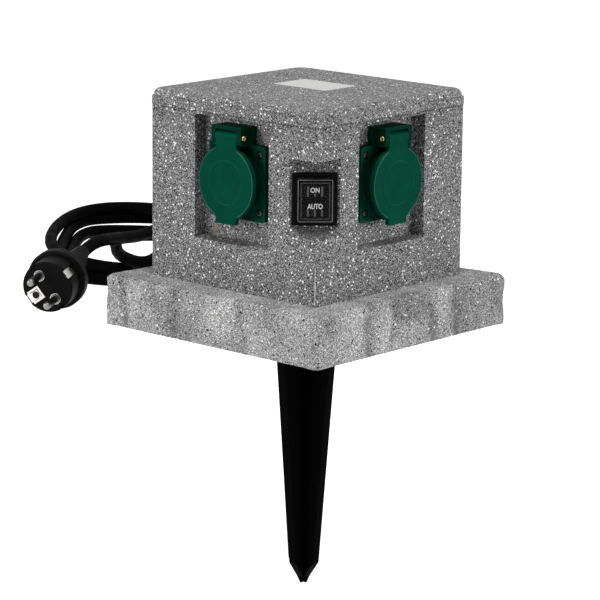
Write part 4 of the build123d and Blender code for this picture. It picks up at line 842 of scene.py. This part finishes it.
# The cord's way from the gland to the coil, in metres.
route = [
    (-0.1000, 0.0, 0.0470), (-0.1200, 0.0, 0.0470), (-0.1340, -0.0085, 0.0255), (-0.1465, -0.0130, 0.0216),
    (-0.1670, -0.0090, 0.0226), (-0.2050, 0.0228, 0.0160), (-0.2445, 0.0600, 0.0080), (-0.2820, 0.0950, 0.0046),
]
route += [lying(-129, 278, 4.6), lying(-107, 277, 4.6), lying(-92, 258, 4.6)]
# The turning points of the three turns: right, away and up, and how square the way on from there is.
turning_points = (
    (-91, 205, 4.6, 2.6), (-146, 121.5, 4.6, 2.6), (-175.8, 205, 4.6, 3.6), (-147, 295.5, 4.6, 3.6),
    (-82, 208, 4.6, 2.6), (-138, 110.5, 4.6, 3.2), (-182.6, 204, 10, 4.0), (-138, 307, 12.8, 3.0),
    (-84, 212, 14, 2.6), (-126, 109, 12.8, 2.0), (-190.5, 205, 17, 2.4), (-149, 306.5, 20.6, 2.6),
)
points_per_quarter = 4
for number, (start, end) in enumerate(zip(turning_points, turning_points[1:])):
    from_right, from_depth, from_height, squareness = start
    to_right, to_depth, to_height = end[:3]
    for step in range(points_per_quarter):
        angle = math.pi / 2 * step / points_per_quarter
        from_start = math.cos(angle) ** (2 / squareness)
        to_end = math.sin(angle) ** (2 / squareness)
        climb = from_height + (to_height - from_height) * step / points_per_quarter
        if number % 2 == 0:
            place = (to_right + (from_right - to_right) * from_start, from_depth + (to_depth - from_depth) * to_end)
        else:
            place = (from_right + (to_right - from_right) * to_end, to_depth + (from_depth - to_depth) * from_start)
        route.append(lying(*place, climb))
route += [
    lying(-149, 306.5, 20.8), lying(-122, 301, 21.5), lying(-103, 275, 24), lying(-107, 243, 19),
    (-0.2320, 0.0740, 0.0172), (-0.2200, 0.0460, 0.0216), (-0.2060, 0.0200, 0.0264), (-0.1925, -0.0050, 0.0308),
    (-0.1831, -0.0253, 0.0318), (-0.1739, -0.0430, 0.0292),
]
line = bpy.data.curves.new("cord", "CURVE")
line.dimensions = "3D"
line.resolution_u = 10
line.bevel_depth = cord_diameter / 2
line.bevel_resolution = 5
line.use_fill_caps = True
spline = line.splines.new("NURBS")
spline.points.add(len(route) - 1)
for point, place in zip(spline.points, route):
    point.co = (*place, 1)
spline.order_u = 3
spline.use_endpoint_u = True
cord_rubber = dark_plastic("cord_rubber", tone=0.0016, roughness=0.6, specular=0.008, texture=500.0, depth=0.00004)
cord = piece("cord", line, cord_rubber)
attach(cord, "socket_box")
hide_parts("cord_lead", "cord_coil", "cord_plug_lead")


# The plug: moulded black rubber with two nickel pins, earth clips at its sides and a bright
# square plate round the earth hole, and a ribbed relief for the cord.
plug_rubber = dark_plastic("plug_rubber", tone=0.005, roughness=0.5, specular=0.03, texture=700.0, depth=0.00006)
nickel = mottled("nickel_plate", dark=(0.35, 0.35, 0.34), pale=(0.75, 0.74, 0.72), scale=500.0, detail=3.0,
                 rough=(0.15, 0.35), Metallic=1.0)
coat(plug_rubber, "plug_body")
coat(nickel, "plug_earth_contact")
pin_nickel = mottled("dull_pin_nickel", dark=(0.06, 0.06, 0.06), pale=(0.34, 0.34, 0.33), scale=500.0, detail=3.0,
                     Metallic=1.0, Roughness=0.4)
coat(pin_nickel, "plug_pins")

plug_face = Vector((-0.1409, -0.1067, 0.0197))
plug_axis = Vector((0.4586, -0.8853, -0.078)).normalized()
plug_pin_line = Vector((0.484, 0.322, -0.8136))
plug_pin_line = (plug_pin_line - plug_axis * plug_pin_line.dot(plug_axis)).normalized()
plug_across = plug_axis.cross(plug_pin_line)
plug_frame = Matrix.Translation(plug_face) @ Matrix((plug_pin_line, plug_across, plug_axis)).transposed().to_4x4()

# The relief's profile in millimetres: place ahead of the plug's face, and radius.
relief_profile = [(-30.0, 13.6), (-36.0, 13.0)]
rib_place, rib_radius = -36.0, 12.4
rib_pitch, rib_taper, rib_depth = 4.2, 0.86, 1.1
while rib_place > -70:
    relief_profile += [(rib_place, rib_radius), (rib_place - 2.2, rib_radius),
                       (rib_place - 2.6, rib_radius - rib_depth), (rib_place - 3.6, rib_radius - rib_depth)]
    rib_place -= rib_pitch
    rib_radius -= rib_taper
relief_profile += [(-72.0, 5.0)]
relief_segments = 40
relief_start, relief_length, relief_raised = -30, 42, 0.0043
shape = bmesh.new()
rings = []
for ahead_of_face, radius in relief_profile:
    rings.append([])
    for angle in full_turn(relief_segments):
        spot = plug_frame @ (Vector((radius * math.cos(angle), radius * math.sin(angle), ahead_of_face)) / 1000)
        spot.z += relief_raised * max(0, (relief_start - ahead_of_face) / relief_length) ** 2
        rings[-1].append(shape.verts.new(spot))
for one, other in zip(rings, rings[1:]):
    for step in range(relief_segments):
        after = (step + 1) % relief_segments
        shape.faces.new((one[step], one[after], other[after], other[step]))
shape.faces.new(list(reversed(rings[0])))
shape.faces.new(rings[-1])
relief = piece("ribbed_relief", made_mesh(shape, "ribbed_relief", True), plug_rubber)
for face in relief.data.polygons:
    face.use_smooth = len(face.vertices) == 4
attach(relief, "socket_box")
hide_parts("plug_relief")

pin_offset = 0.0095
sleeve_radius = 0.00248
sleeve_length = 0.0152
sleeve_middle = 0.0082
sleeve_rubber = dark_plastic("pin_sleeve_plastic", tone=0.006, roughness=0.4, specular=0.08, texture=900.0,
                             depth=0.00003)
shape = bmesh.new()
for sign in (-1, 1):
    middle = Matrix.Translation((sign * pin_offset, 0, sleeve_middle))
    bmesh.ops.create_cone(shape, cap_ends=True, segments=28, radius1=sleeve_radius, radius2=sleeve_radius,
                          depth=sleeve_length, matrix=plug_frame @ middle)
sleeves = piece("pin_sleeves", made_mesh(shape, "pin_sleeves"), sleeve_rubber)
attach(sleeves, "socket_box")

collar_radius = 0.0036
collar_thickness = 0.00028
collar_ahead = 0.0001
shape = bmesh.new()
for sign in (-1, 1):
    bead(shape, plug_frame @ Matrix.Translation((sign * pin_offset, 0, collar_ahead)), collar_radius,
         collar_thickness, full_turn(32))
collars = piece("pin_collars", made_mesh(shape, "pin_collars", True), nickel)
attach(collars, "socket_box")

earth_hole_radius = 0.0024
clip_line_offset = 0.0160
mark_shade = dark_plastic("plate_line_shade", tone=0.01, roughness=0.5, specular=0.1, texture=1000.0, depth=0.00002)
shape = bmesh.new()
plate_middle = Vector((0.0, -0.0100, 0.0006))
for offset, extent in (((-0.0031, 0.0, 0), (0.0005, 0.0064)), ((0.0, 0.0031, 0), (0.0064, 0.0005)),
                       ((0.0031, -0.0012, 0), (0.0004, 0.0036))):
    spot = Matrix.Translation(plate_middle + Vector(offset)) @ Matrix.Diagonal((*extent, 0.00012, 1))
    bmesh.ops.create_cube(shape, size=1.0, matrix=plug_frame @ spot)
bmesh.ops.create_cone(shape, cap_ends=True, segments=28, radius1=earth_hole_radius, radius2=earth_hole_radius,
                      depth=0.0002, matrix=plug_frame @ Matrix.Translation(plate_middle))
for sign in (-1, 1):
    spot = Matrix.Translation((0.0, sign * clip_line_offset, 0.0002)) @ Matrix.Diagonal((0.0070, 0.0007, 0.0004, 1))
    bmesh.ops.create_cube(shape, size=1.0, matrix=plug_frame @ spot)
plate_lines = piece("plate_lines", made_mesh(shape, "plate_lines"), mark_shade)
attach(plate_lines, "socket_box")

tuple(route[0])
